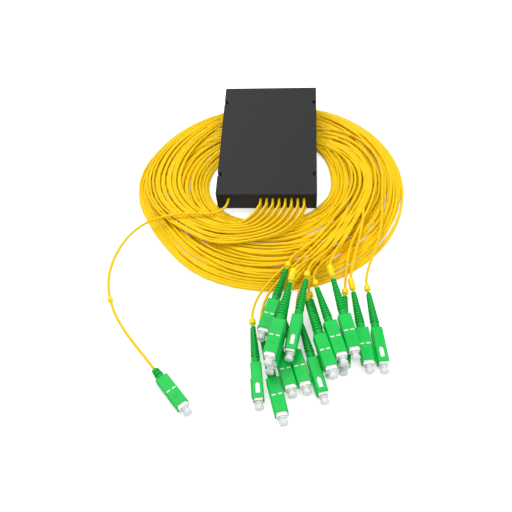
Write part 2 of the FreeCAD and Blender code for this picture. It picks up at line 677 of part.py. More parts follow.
def make_cap_master():
    """Translucent dust cap: skirt over the ferrule, collar, waist and pull-off head, blind bore."""
    rear = f"{FRAME_FRONT} - sizes.cap_skirt_deep"
    collar = f"{FRAME_FRONT} + sizes.cap_gap"
    waist = f"{collar} + sizes.cap_collar_deep"
    head = f"{waist} + sizes.cap_neck_deep"
    tip = f"{head} + sizes.cap_head_deep"
    bore_end = f"{FRAME_FRONT} + sizes.cap_bore_past"
    bore = "sizes.cap_bore_dia / 2"
    return turned("cap_master", [
        (rear, bore), (bore_end, bore), (bore_end, "0"), (tip, "0"), (tip, "sizes.cap_head_dia / 2"),
        (head, "sizes.cap_head_dia / 2"), (head, "sizes.cap_neck_dia / 2"), (waist, "sizes.cap_neck_dia / 2"),
        (waist, "sizes.cap_collar_dia / 2"), (collar, "sizes.cap_collar_dia / 2"),
        (collar, "sizes.cap_skirt_dia / 2"), (rear, "sizes.cap_skirt_dia / 2")])


# ---------------------------------------------------------------- where the plugs lie

WIDE_UP = 0
WINDOW_UP = -90

# x, y, z of the middle of the grip's rear; heading, degrees to the right of straight ahead; degrees nose
# down; side that lies up. The output plugs lie in a heap, some across others.
INPUT_PLUG = (-63.0, -214.5, 4.7, 41.0, 0.0, WIDE_UP)
OUTPUT_PLUGS = (
    (-1.5, -203.0, 4.7, 7.0, 0.0, WINDOW_UP),
    (9.5, -157.0, 11.0, -15.0, -1.0, WIDE_UP),
    (14.0, -181.5, 25.5, -12.5, 4.5, WIDE_UP),
    (14.0, -182.5, 16.0, -11.0, 4.5, WIDE_UP),
    (26.0, -173.5, 18.0, -10.5, 5.5, WINDOW_UP),
    (10.0, -213.5, 4.7, 15.0, 0.0, WIDE_UP),
    (15.0, -196.0, 5.2, 15.5, -3.5, WIDE_UP),
    (24.0, -194.0, 5.5, 16.0, -4.0, WIDE_UP),
    (35.5, -199.0, 6.2, 15.5, 2.0, WINDOW_UP),
    (40.5, -186.0, 13.8, 16.0, -2.0, WIDE_UP),
    (47.3, -176.0, 14.5, 16.0, 0.5, WIDE_UP),
    (57.5, -177.0, 4.7, -3.0, 0.0, WIDE_UP),
    (57.0, -171.0, 15.7, 13.0, 5.0, WIDE_UP),
    (69.0, -175.5, 6.3, 8.0, 3.5, WIDE_UP),
    (79.0, -175.5, 5.9, 7.0, 2.5, WINDOW_UP),
    (41.0, -179.5, 4.7, 11.5, 0.0, WIDE_UP),
)
# x, y of each output lead at the coil's rim, and x, y, z where it dips into the coil
LEAD_WAYS = (
    (-1.5, -146.0, 11.0, -129.0, 3.5),
    (30.0, -107.0, 40.0, -97.0, 5.0),
    (31.0, -127.0, 40.0, -113.0, 5.0),
    (28.0, -129.0, 35.0, -117.0, 4.0),
    (41.0, -120.0, 50.0, -106.5, 5.0),
    (2.2, -150.0, 14.0, -133.0, 3.5),
    (12.0, -142.0, 23.0, -127.5, 3.5),
    (20.0, -139.5, 31.0, -125.0, 3.5),
    (28.0, -139.0, 37.5, -121.5, 3.5),
    (36.5, -133.0, 50.0, -117.5, 5.0),
    (42.0, -124.0, 52.5, -111.0, 5.0),
    (61.5, -120.0, 64.0, -105.0, 3.5),
    (51.5, -116.5, 57.0, -102.0, 5.0),
    (65.5, -121.0, 69.5, -105.0, 3.5),
    (79.0, -117.0, 86.5, -96.0, 2.0),
    (38.5, -127.0, 46.0, -113.0, 3.5),
)


def plug_frame(plug):
    """Placement of one plug's own frame: x forward, z out of the wide face without the rib."""
    x, y, z, heading, nose_down, roll = plug
    turn = Rotation(Vector(0, 0, 1), heading - 90)
    turn = turn.multiply(Rotation(Vector(0, 1, 0), nose_down)).multiply(Rotation(Vector(1, 0, 0), roll))
    return Placement(Vector(x, y, z), turn)


def make_plugs():
    """All seventeen plugs: grips and caps as nodes of their own, the fixed pieces as groups."""
    grip = make_grip_master()
    frame = make_frame_master()
    ferrule = make_ferrule_master()
    crimp = make_crimp_master()
    cap = make_cap_master()
    long_boot = make_boot_master("boot_master", "sizes.boot_length", "sizes.boot_tip_dia")
    short_boot = make_boot_master("short_boot_master", "sizes.boot_short", "sizes.boot_short_tip")
    frames, ferrules, crimps, boots = [], [], [], []
    for number, plug in enumerate((INPUT_PLUG,) + OUTPUT_PLUGS):
        place = plug_frame(plug)
        tag = f"{number:02d}" if number else "in"
        node(f"grip_{tag}", [grip], place)
        node(f"dust_cap_{tag}", [cap], place)
        frames.append(placed(f"frame_{tag}", frame, place))
        ferrules.append(placed(f"ferrule_{tag}", ferrule, place))
        crimps.append(placed(f"crimp_{tag}", crimp, place))
        if number:
            boots.append(placed(f"boot_{tag}", long_boot, place))
        else:
            node("input_boot", [short_boot], place)
    node("plug_frames", frames)
    node("ferrules", ferrules)
    node("crimp_bodies", crimps)
    node("output_boots", boots)


# ---------------------------------------------------------------- cables

def make_coil():
    """Closed outer shape of the coiled output cables, pressed down where the box lies on it."""
    body = doc.addObject("PartDesign::Body", "coil_body")
    middle = "(sizes.coil_inner + sizes.coil_outer) / 2"
    profile = [("sizes.coil_inner", "0"), ("sizes.coil_outer", "0"), ("sizes.coil_outer", "sizes.coil_edge"),
               ("sizes.coil_outer - sizes.coil_slope", "sizes.coil_shoulder"),
               (f"{middle} + sizes.coil_flat / 2", "sizes.coil_height"),
               (f"{middle} - sizes.coil_flat / 2", "sizes.coil_height"),
               ("sizes.coil_inner + sizes.coil_slope", "sizes.coil_shoulder"),
               ("sizes.coil_inner", "sizes.coil_edge")]
    sketch = outline(body, "coil_profile", "XZ_Plane", profile)
    feature = body.newObject("PartDesign::Revolution", "coil_turn")
    feature.Profile = sketch
    feature.ReferenceAxis = (sketch, ["V_Axis"])
    feature.Angle = 360
    body.setExpression("Placement.Base.x", "sizes.coil_x")
    body.setExpression("Placement.Base.y", "sizes.coil_y")
    envelope = block("box_envelope", "sizes.box_width + 2 * sizes.fit_gap",
                     "sizes.box_length + 2 * sizes.fit_gap", "sizes.box_height",
                     (f"-{HALF} - sizes.fit_gap", "-sizes.fit_gap", "-sizes.fit_gap"))
    node("cable_coil", [difference("coil_under_box", body, placed("box_room", envelope, BOX))])


def in_box(x, y, z):
    """Point given in the box's own frame."""
    return BOX.multVec(Vector(x, y, z))


def make_port_leads():
    """Sixteen short leads from the port wall down into the front of the coil."""
    leads = []
    anchor = size("wall") + size("anchor_start")
    rim = size("coil_y") - size("coil_inner")
    for layer, height in enumerate((size("port_upper"), size("port_lower"))):
        for column in range(OUTPUT_COLUMNS):
            x = port_x(column)
            start = in_box(x, anchor, height)
            straight = in_box(x, -7, height)
            if layer == 0:
                rest = [Vector(x - 4, rim + 1, 11), Vector(x - 13, rim - 11, 7)]
            else:
                rest = [Vector(x - 3, rim + 4, 5.5), Vector(x - 9, rim - 7, 3.5)]
            leads.append(cord(f"port_lead_{layer}_{column}", [start, straight] + rest, size("cable_dia")))
    node("port_leads", leads)


def make_plug_leads():
    """Sixteen short leads from the coil to the thin ends of the boots, each with its marker ring."""
    leads = []
    markers = []
    for number, (plug, way) in enumerate(zip(OUTPUT_PLUGS, LEAD_WAYS), start=1):
        rim_x, rim_y, landing_x, landing_y, landing_z = way
        place = plug_frame(plug)
        tail = place.multVec(Vector(-size("boot_length"), 0, 0))
        first = place.multVec(Vector(-size("boot_length") - size("lead_stub"), 0, 0))
        landing = Vector(landing_x, landing_y, landing_z)
        middle = Vector(rim_x, rim_y, (first.z + landing_z) / 2)
        leads.append(cord(f"plug_lead_{number:02d}", [tail, first, middle, landing], size("cable_dia")))
        markers.append(marker(f"marker_{number:02d}", tail, first, size("marker_from_boot")))
    markers.append(marker("marker_in", INPUT_ROUTE[11], INPUT_ROUTE[12], 5.5))
    node("plug_leads", leads)
    node("marker_rings", markers)


def marker(name, start, toward, distance):
    """Short ring that lies on a straight stretch of cable."""
    direction = Vector(toward - start).normalize()
    base = start + direction * distance
    outer = Part.makeCylinder(size("marker_dia") / 2, size("marker_length"), base, direction)
    bore = size("cable_dia") / 2 + size("marker_gap")
    inner = Part.makeCylinder(bore, size("marker_length"), base, direction)
    feature = doc.addObject("Part::Feature", name)
    feature.Shape = outer.cut(inner)
    return feature


# the input lead: out of its port, over the coil, down to the bench and round to its plug
INPUT_ROUTE = (
    in_box(input_port_x(), size("wall") + size("anchor_start"), size("port_upper")),
    in_box(input_port_x(), -4.5, size("port_upper")),
    Vector(-34.0, -71.0, 11.4),
    Vector(-43.0, -76.0, 11.6),
    Vector(-59.0, -75.0, 12.0),
    Vector(-75.0, -77.0, 12.0),
    Vector(-90.0, -80.5, 10.0),
    Vector(-103.5, -87.0, 5.0),
    Vector(-112.0, -98.5, 1.8),
    Vector(-116.0, -113.0, 1.3),
    Vector(-116.5, -128.0, 1.7),
    Vector(-114.0, -142.0, 2.2),
    Vector(-109.0, -155.5, 2.1),
    Vector(-101.5, -168.5, 1.5),
    Vector(-92.0, -181.0, 1.7),
    Vector(-82.5, -192.0, 3.2),
    plug_frame(INPUT_PLUG).multVec(Vector(-size("boot_short") - 9, 0, 0)),
    plug_frame(INPUT_PLUG).multVec(Vector(-size("boot_short"), 0, 0)),
)


def make_input_lead():
    """The input lead, which lies free over its whole length."""
    node("input_lead", [cord("input_lead_cable", list(INPUT_ROUTE), size("cable_dia"))])


# ---------------------------------------------------------------- build, check, write

def write_nodes():
    """Stop on any failed object or shape, then write one STEP file for each node."""
    doc.recompute()
    failed = [item.Name for item in doc.Objects if {"Invalid", "Error"} & set(item.State)]
    if failed:
        raise RuntimeError(f"failed objects: {failed}")
    os.makedirs("parts", exist_ok=True)
    for label, item in NODES.items():
        solids = item.Shape.Solids
        if item.Shape.isNull() or not solids or not item.Shape.isValid():
            raise RuntimeError(f"{label} has no valid shape")
        shape = solids[0] if len(solids) == 1 else Part.makeCompound(solids)
        shape.exportStep(f"parts/{label}.step")
    print(f"{len(NODES)} nodes written")


make_base()
make_lid()
make_screws()
make_anchor()
make_module()
make_inner_fibres()
make_plugs()
make_coil()
make_port_leads()
make_plug_leads()
make_input_lead()
write_nodes()
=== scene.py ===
"""1 x 16 PLC fibre splitter: cassette box, one input lead and sixteen coiled output leads.

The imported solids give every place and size. This script dresses them: moulded shells with broken edges,
jacketed cables wound turn by turn, ribbed boots, push-pull grips and milky dust caps. Lengths are written
in millimetres and turned to metres where a mesh or curve is made.
"""
from __future__ import annotations

import json
import logging
import math
import random
from dataclasses import dataclass, field
from enum import Enum
from typing import Iterable, Sequence

import bmesh
import bpy
from bpy.types import Material, Mesh, NodeSocket, NodeTree, Object
from mathutils import Matrix, Vector

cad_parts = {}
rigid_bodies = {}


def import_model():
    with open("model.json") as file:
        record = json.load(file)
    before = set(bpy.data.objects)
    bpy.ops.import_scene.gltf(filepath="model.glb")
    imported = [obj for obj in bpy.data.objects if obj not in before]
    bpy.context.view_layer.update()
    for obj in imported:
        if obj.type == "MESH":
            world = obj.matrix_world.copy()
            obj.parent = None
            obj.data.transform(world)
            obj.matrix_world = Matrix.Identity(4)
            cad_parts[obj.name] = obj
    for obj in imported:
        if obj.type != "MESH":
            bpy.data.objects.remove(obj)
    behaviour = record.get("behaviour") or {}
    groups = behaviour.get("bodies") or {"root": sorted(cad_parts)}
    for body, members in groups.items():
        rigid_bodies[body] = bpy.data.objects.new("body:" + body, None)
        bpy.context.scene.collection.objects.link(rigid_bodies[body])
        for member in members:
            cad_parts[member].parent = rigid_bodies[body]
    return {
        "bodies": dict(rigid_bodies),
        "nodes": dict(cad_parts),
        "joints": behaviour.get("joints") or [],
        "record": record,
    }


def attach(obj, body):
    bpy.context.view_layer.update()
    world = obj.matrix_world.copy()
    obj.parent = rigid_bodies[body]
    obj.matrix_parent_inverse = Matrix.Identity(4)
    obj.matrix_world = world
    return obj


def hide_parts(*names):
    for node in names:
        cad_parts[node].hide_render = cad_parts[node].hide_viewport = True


LOG = logging.getLogger("splitter")
MM = 0.001
ROOT_BODY = "splitter"
Pair = tuple[float, float]
Triple = tuple[float, float, float]
# front of the plug frame from the grip's rear
PLUG_FRONT_MM = 26.4
# between these a noise texture's values mostly lie
NOISE_LOW, NOISE_HIGH = 0.3, 0.7


# ------------------------------------------------------------------ small helpers

def linear(hex_colour: str) -> tuple[float, float, float, float]:
    """Turn an sRGB hex colour, # and six digits, into linear RGBA with an alpha of 1."""
    parts = [int(hex_colour[i:i + 2], 16) / 255 for i in (1, 3, 5)]
    red, green, blue = (c / 12.92 if c <= 0.04045 else ((c + 0.055) / 1.055) ** 2.4 for c in parts)
    return red, green, blue, 1.0


def add_node(tree: NodeTree, kind: str, inputs: dict | None = None, **settings) -> bpy.types.Node:
    """Add one node, set it up and link what feeds it.

    Args:
        tree: shader or geometry tree.
        kind: the node's type name.
        inputs: socket name or number to a value or to the socket that feeds it.
        settings: attributes of the node itself.

    Returns:
        The new node.
    """
    made = tree.nodes.new(kind)
    for name, value in settings.items():
        setattr(made, name, value)
    for key, value in (inputs or {}).items():
        if isinstance(value, NodeSocket):
            tree.links.new(value, made.inputs[key])
        else:
            made.inputs[key].default_value = value
    return made


def empty_tree(owner: Material | bpy.types.World) -> NodeTree:
    """Node tree of a material or a world, cleared."""
    owner.use_nodes = True
    owner.node_tree.nodes.clear()
    return owner.node_tree


def linked(name: str, data: bpy.types.ID) -> Object:
    """Link a mesh, curve, lamp or camera into the scene as an object at the origin."""
    made = bpy.data.objects.new(name, data)
    bpy.context.scene.collection.objects.link(made)
    return made


def from_bmesh(name: str, shape: bmesh.types.BMesh) -> Mesh:
    """Turn a work mesh into a plain one and free it."""
    mesh = bpy.data.meshes.new(name)
    shape.to_mesh(mesh)
    shape.free()
    return mesh


def smooth_by_angle(mesh: Mesh, degrees: float = 35.0) -> Mesh:
    """Shade a mesh smooth except over edges sharper than an angle, and give it back."""
    mesh.shade_smooth()
    mesh.set_sharp_from_angle(angle=math.radians(degrees))
    return mesh


def baked(holder: Object) -> Mesh:
    """Plain mesh of an object with its modifiers applied; the object itself is removed."""
    graph = bpy.context.evaluated_depsgraph_get()
    mesh = bpy.data.meshes.new_from_object(holder.evaluated_get(graph), depsgraph=graph)
    bpy.data.objects.remove(holder)
    return mesh


def lathe(name: str, profile: Sequence[Pair], segments: int = 28) -> Mesh:
    """Turn a profile about X into a closed mesh.

    Args:
        name: name of the mesh.
        profile: (along, radius) pairs in millimetres from the rear to the front; both ends are closed.
        segments: steps round the axis.

    Returns:
        The mesh in metres, in the plug's own frame.
    """
    shape = bmesh.new()
    rings = []
    for along, radius in profile:
        ring = [shape.verts.new((along * MM, radius * MM * math.cos(a), radius * MM * math.sin(a)))
                for a in (2 * math.pi * i / segments for i in range(segments))]
        rings.append(ring)
    for rear, front in zip(rings, rings[1:]):
        for i in range(segments):
            j = (i + 1) % segments
            shape.faces.new((rear[i], rear[j], front[j], front[i]))
    shape.faces.new(list(reversed(rings[0])))
    shape.faces.new(rings[-1])
    bmesh.ops.recalc_face_normals(shape, faces=shape.faces)
    return smooth_by_angle(from_bmesh(name, shape))


# ------------------------------------------------------------------ finishes

@dataclass(frozen=True)
class Finish:
    """A moulded or extruded surface: its colour, gloss, and a fine grain at a real size."""

    name: str
    colour: str
    roughness: float
    ior: float = 1.5
    metallic: float = 0.0
    grain_mm: float = 0.6
    grain_depth_mm: float = 0.01
    drift_mm: float = 18.0
    shade: float = 0.08
    gloss_spread: float = 0.06
    transmission: float = 0.0
    subsurface: float = 0.0

    def build(self) -> Material:
        """Make the node material.

        Returns:
            A material whose grain, colour drift and roughness drift follow Object coordinates.
        """
        material = bpy.data.materials.new(self.name)
        tree = empty_tree(material)
        place = add_node(tree, "ShaderNodeTexCoord")
        grain = add_node(tree, "ShaderNodeTexNoise", {
            "Vector": place.outputs["Object"], "Scale": 1 / (self.grain_mm * MM), "Detail": 3.0})
        drift = add_node(tree, "ShaderNodeTexNoise", {
            "Vector": place.outputs["Object"], "Scale": 1 / (self.drift_mm * MM), "Detail": 2.0})
        tone = add_node(tree, "ShaderNodeMapRange", {
            "Value": drift.outputs["Fac"], "From Min": NOISE_LOW, "From Max": NOISE_HIGH,
            "To Min": 1 - self.shade, "To Max": 1 + self.shade / 2})
        tint = add_node(tree, "ShaderNodeVectorMath", {
            0: linear(self.colour)[:3], "Scale": tone.outputs["Result"]}, operation="SCALE")
        gloss = add_node(tree, "ShaderNodeMapRange", {
            "Value": grain.outputs["Fac"], "From Min": NOISE_LOW, "From Max": NOISE_HIGH,
            "To Min": self.roughness - self.gloss_spread, "To Max": self.roughness + self.gloss_spread})
        relief = add_node(tree, "ShaderNodeBump", {
            "Height": grain.outputs["Fac"], "Strength": 0.35, "Distance": self.grain_depth_mm * MM})
        shader = add_node(tree, "ShaderNodeBsdfPrincipled", {
            "Base Color": tint.outputs["Vector"], "Roughness": gloss.outputs["Result"],
            "Normal": relief.outputs["Normal"], "Metallic": self.metallic, "IOR": self.ior,
            "Transmission Weight": self.transmission, "Subsurface Weight": self.subsurface,
            "Subsurface Scale": 1.5 * MM})
        add_node(tree, "ShaderNodeOutputMaterial", {"Surface": shader.outputs["BSDF"]})
        return material


class Slot(Enum):
    """The record's material slots, each with its finish."""

    # moulded ABS with a spark-eroded texture: dull black with a fine even grain
    BLACK_ABS = Finish("moulded_abs_black", "#151618", 0.6, ior=1.33, grain_mm=0.45, grain_depth_mm=0.03,
                       shade=0.05)
    # extruded low-smoke jacket: waxy yellow with a soft sheen
    CABLE_YELLOW = Finish("extruded_jacket_yellow", "#F7CE00", 0.45, ior=1.28, grain_mm=1.2,
                          shade=0.05)
    # shrunk polyolefin sleeve: brighter and glossier than the jacket
    MARKER_YELLOW = Finish("shrunk_sleeve_yellow", "#FFE000", 0.35, ior=1.4, grain_mm=1.0, shade=0.04)
    # moulded polybutylene, bright green with a satin gloss
    GRIP_GREEN = Finish("moulded_grip_green", "#00C84E", 0.4, ior=1.3, grain_mm=0.8, grain_depth_mm=0.008,
                        shade=0.07)
    # soft elastomer, a little darker and duller than the grip; on the grip's mould mark this darker green is
    # painted shade
    BOOT_GREEN = Finish("elastomer_boot_green", "#0AB444", 0.5, ior=1.3, grain_mm=0.7)
    # moulded polycarbonate, cool white
    PLUG_WHITE = Finish("moulded_plug_white", "#F5F5F3", 0.35, grain_mm=0.8, grain_depth_mm=0.005,
                        shade=0.03)
    # low-density polyethylene: milky, lets some light through
    CAP_CLEAR = Finish("polyethylene_cap_milky", "#EEF0F0", 0.4, grain_mm=0.8, grain_depth_mm=0.006,
                       shade=0.04, transmission=0.12, subsurface=0.3)
    FERRULE_CERAMIC = Finish("polished_zirconia", "#F2F2EF", 0.15, ior=2.1, shade=0.02)
    CRIMP_METAL = Finish("turned_aluminium", "#C9CACC", 0.3, metallic=1.0, shade=0.04)
    SCREW_STEEL = Finish("zinc_plated_steel", "#8D9094", 0.35, metallic=1.0, shade=0.06)
    MODULE_STEEL = Finish("brushed_steel", "#B9BABD", 0.35, metallic=1.0, shade=0.05)
    SEALING_RUBBER = Finish("moulded_rubber_black", "#1B1B1C", 0.7)
    CHIP_GLASS = Finish("diced_silica", "#8C98A6", 0.15, ior=1.46)
    ARRAY_GLASS = Finish("ground_glass", "#DDE8EC", 0.35, ior=1.47, transmission=0.5)
    RIBBON_COATING = Finish("acrylate_ribbon", "#E9E6D8", 0.4)
    LOOSE_TUBE_WHITE = Finish("extruded_tube_white", "#EFEFEC", 0.45)
    POTTING_RESIN = Finish("cured_resin", "#D9D8D0", 0.5)

    @property
    def key(self) -> str:
        """The slot's name in the record."""
        return self.name.lower()


class Palette:
    """Builds each finish once and puts it on pieces."""

    def __init__(self) -> None:
        """Start with no material made."""
        self._made: dict[Slot, Material] = {}

    def material(self, slot: Slot) -> Material:
        """The material of a slot, made on first use."""
        if slot not in self._made:
            self._made[slot] = slot.value.build()
        return self._made[slot]

    def dress(self, piece: Object, slot: Slot) -> None:
        """Give a piece, mesh or curve, one finish all over."""
        piece.data.materials.clear()
        piece.data.materials.append(self.material(slot))
        if piece.type == "MESH":
            for face in piece.data.polygons:
                face.material_index = 0

    def put(self, piece: Object, slot: Slot, body: str, *replaced: str) -> Object:
        """Dress a piece in a slot's finish, hide the CAD nodes that it replaces and attach it to the body
        that carries it.
        """
        self.dress(piece, slot)
        if replaced:
            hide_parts(*replaced)
        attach(piece, body)
        return piece


# ------------------------------------------------------------------ frame

class Frame:
    """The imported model: its nodes, their slots and its mounts."""

    merge_mm = 0.002
    flat_deg = 1.0
    edge_deg = 40.0
    edge_steps = 2

    def __init__(self, loaded: dict) -> None:
        self.nodes: dict[str, Object] = loaded["nodes"]
        self.record: dict = loaded["record"]
        self.slots = {row["node"]: row["material_slot"] for row in self.record["subparts"]}
        self.mounts = {row["name"]: row for row in self.record["mounts"]}

    def softened(self, node: str, width_mm: float) -> Mesh:
        """Copy of a solid's mesh with its sharp edges broken.

        Args:
            node: the CAD node.
            width_mm: width of the broken edge.

        Returns:
            A clean mesh; the node itself is untouched.
        """
        shape = bmesh.new()
        shape.from_mesh(self.nodes[node].data)
        bmesh.ops.remove_doubles(shape, verts=shape.verts, dist=self.merge_mm * MM)
        bmesh.ops.dissolve_limit(shape, angle_limit=math.radians(self.flat_deg), verts=shape.verts,
                                 edges=shape.edges)
        mesh = from_bmesh(f"{node}_clean", shape)
        holder = linked(f"{node}_holder", mesh)
        edge = holder.modifiers.new("edge", "BEVEL")
        edge.width = width_mm * MM
        edge.segments = self.edge_steps
        edge.limit_method = "ANGLE"
        edge.angle_limit = math.radians(self.edge_deg)
        edge.use_clamp_overlap = True
        mesh.shade_smooth()
        holder.modifiers.new("normals", "WEIGHTED_NORMAL")
        return baked(holder)


class Side(Enum):
    """Which side of a plug lies up, as a turn about its own axis in degrees."""

    WIDE = 0
    WINDOW = -90


@dataclass
class PlugPlace:
    """One plug: its tag, its mount in the record and the side that lies up."""

    tag: str
    mount: str
    side: Side

    def matrix(self, frame: Frame) -> Matrix:
        """Place of the plug's own frame, x forward and z out of its plain wide face.

        Args:
            frame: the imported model.

        Returns:
            A 4 x 4 matrix in metres whose origin is the middle of the grip's rear.
        """
        mount = frame.mounts[self.mount]
        ahead = Vector(mount["axis"]).normalized()
        across = Vector((0, 0, 1)).cross(ahead).normalized()
        upward = ahead.cross(across)
        start = Vector(mount["pos_m"]) - ahead * PLUG_FRONT_MM * MM
        turn = Matrix((ahead, across, upward)).transposed()
        roll = Matrix.Rotation(math.radians(self.side.value), 3, "X")
        return Matrix.Translation(start) @ (turn @ roll).to_4x4()

    def on_axis(self, frame: Frame, along_mm: float) -> Vector:
        """Point of the plug's axis in metres, counted forward from the grip's rear."""
        return self.matrix(frame) @ (Vector((along_mm, 0, 0)) * MM)


# ------------------------------------------------------------------ box

@dataclass
class CassetteBox:
    """The black box: base shell, lid, port numbers and what it holds."""

    tilt_deg: float = 5.0
    height_mm: float = 18.0
    length_mm: float = 120.0
    edge_mm: float = 0.35
    digit_mm: float = 2.2
    digit_row_mm: float = 3.6
    digit_shift_mm: float = -0.8
    digit_deep_mm: float = 0.1
    input_digit_mm: float = -28.0
    port_pitch_mm: float = 4.9
    port_first_mm: float = -4.5
    port_columns: int = 8
    # lower and upper row
    port_heights_mm: Pair = (7.2, 12.2)
    input_port_mm: float = -30.0
    # where a cable starts behind the port wall's outer face
    cable_start_mm: float = 3.8
    inner_nodes: tuple[str, ...] = ("lid_screws", "cable_anchor", "module_tube", "module_end_plugs",
                                    "plc_chip", "output_array", "input_array", "fibre_ribbon",
                                    "input_fibre", "fan_out_tubes")

    def frame_matrix(self) -> Matrix:
        """Place of the box's own frame: x across, y back from the port wall, z up from its floor."""
        slope = math.radians(self.tilt_deg)
        front = (self.height_mm * math.sin(slope) - self.length_mm * math.cos(slope)) / 2
        return Matrix.Translation((0, front * MM, 0)) @ Matrix.Rotation(slope, 4, "X")

    def point(self, across: float, along: float, height: float) -> Vector:
        """Point of the box's own frame, given in millimetres, as a place in metres."""
        return self.frame_matrix() @ (Vector((across, along, height)) * MM)

    def port(self, column: int, upper: bool, along: float = 0.0) -> Vector:
        """Middle of an output port, or a point straight behind it or ahead of it, in metres."""
        across = self.port_first_mm + self.port_pitch_mm * column
        return self.point(across, along, self.port_heights_mm[upper])

    def input_port(self, along: float = 0.0) -> Vector:
        """Middle of the input port, or a point straight behind it or ahead of it, in metres."""
        return self.point(self.input_port_mm, along, self.port_heights_mm[1])

    def build_shells(self, frame: Frame, palette: Palette) -> None:
        """Replace the base and the lid with moulded copies whose edges are broken."""
        for node in ("base_shell", "lid"):
            piece = linked(f"{node}_moulded", frame.softened(node, self.edge_mm))
            palette.put(piece, Slot.BLACK_ABS, ROOT_BODY, node)

    def digit(self, text: str, across: float) -> Mesh:
        """Plain number on the lid, in the row frame, so far in millimetres from the box's middle."""
        curve = bpy.data.curves.new(f"digit_{text}", "FONT")
        curve.body = text
        curve.size = self.digit_mm * MM
        curve.align_x = "CENTER"
        curve.extrude = self.digit_deep_mm * MM
        mesh = baked(linked(f"digit_{text}", curve))
        top = Vector((across, self.digit_row_mm, self.height_mm)) * MM
        mesh.transform(self.frame_matrix() @ Matrix.Translation(top))
        return mesh

    def build_digits(self, palette: Palette) -> None:
        """Moulded port numbers along the lid's front edge, in one piece."""
        meshes = [self.digit("0", self.input_digit_mm)]
        for column in range(self.port_columns):
            across = self.port_first_mm + column * self.port_pitch_mm + self.digit_shift_mm
            meshes.append(self.digit(str(column * 2 + 1), across))
        palette.put(joined("port_numbers", meshes), Slot.BLACK_ABS, ROOT_BODY)

    def build(self, frame: Frame, palette: Palette) -> None:
        """Make the whole box and dress what it holds."""
        self.build_shells(frame, palette)
        self.build_digits(palette)
        for node in self.inner_nodes:
            palette.dress(frame.nodes[node], Slot[frame.slots[node].upper()])
        LOG.info("box: shells, port numbers and %d inner nodes", len(self.inner_nodes))


def joined(name: str, meshes: Iterable[Mesh]) -> Object:
    """One linked object from several meshes that are already in place."""
    shape = bmesh.new()
    for mesh in meshes:
        shape.from_mesh(mesh)
    return linked(name, smooth_by_angle(from_bmesh(name, shape)))


# ------------------------------------------------------------------ plug pieces

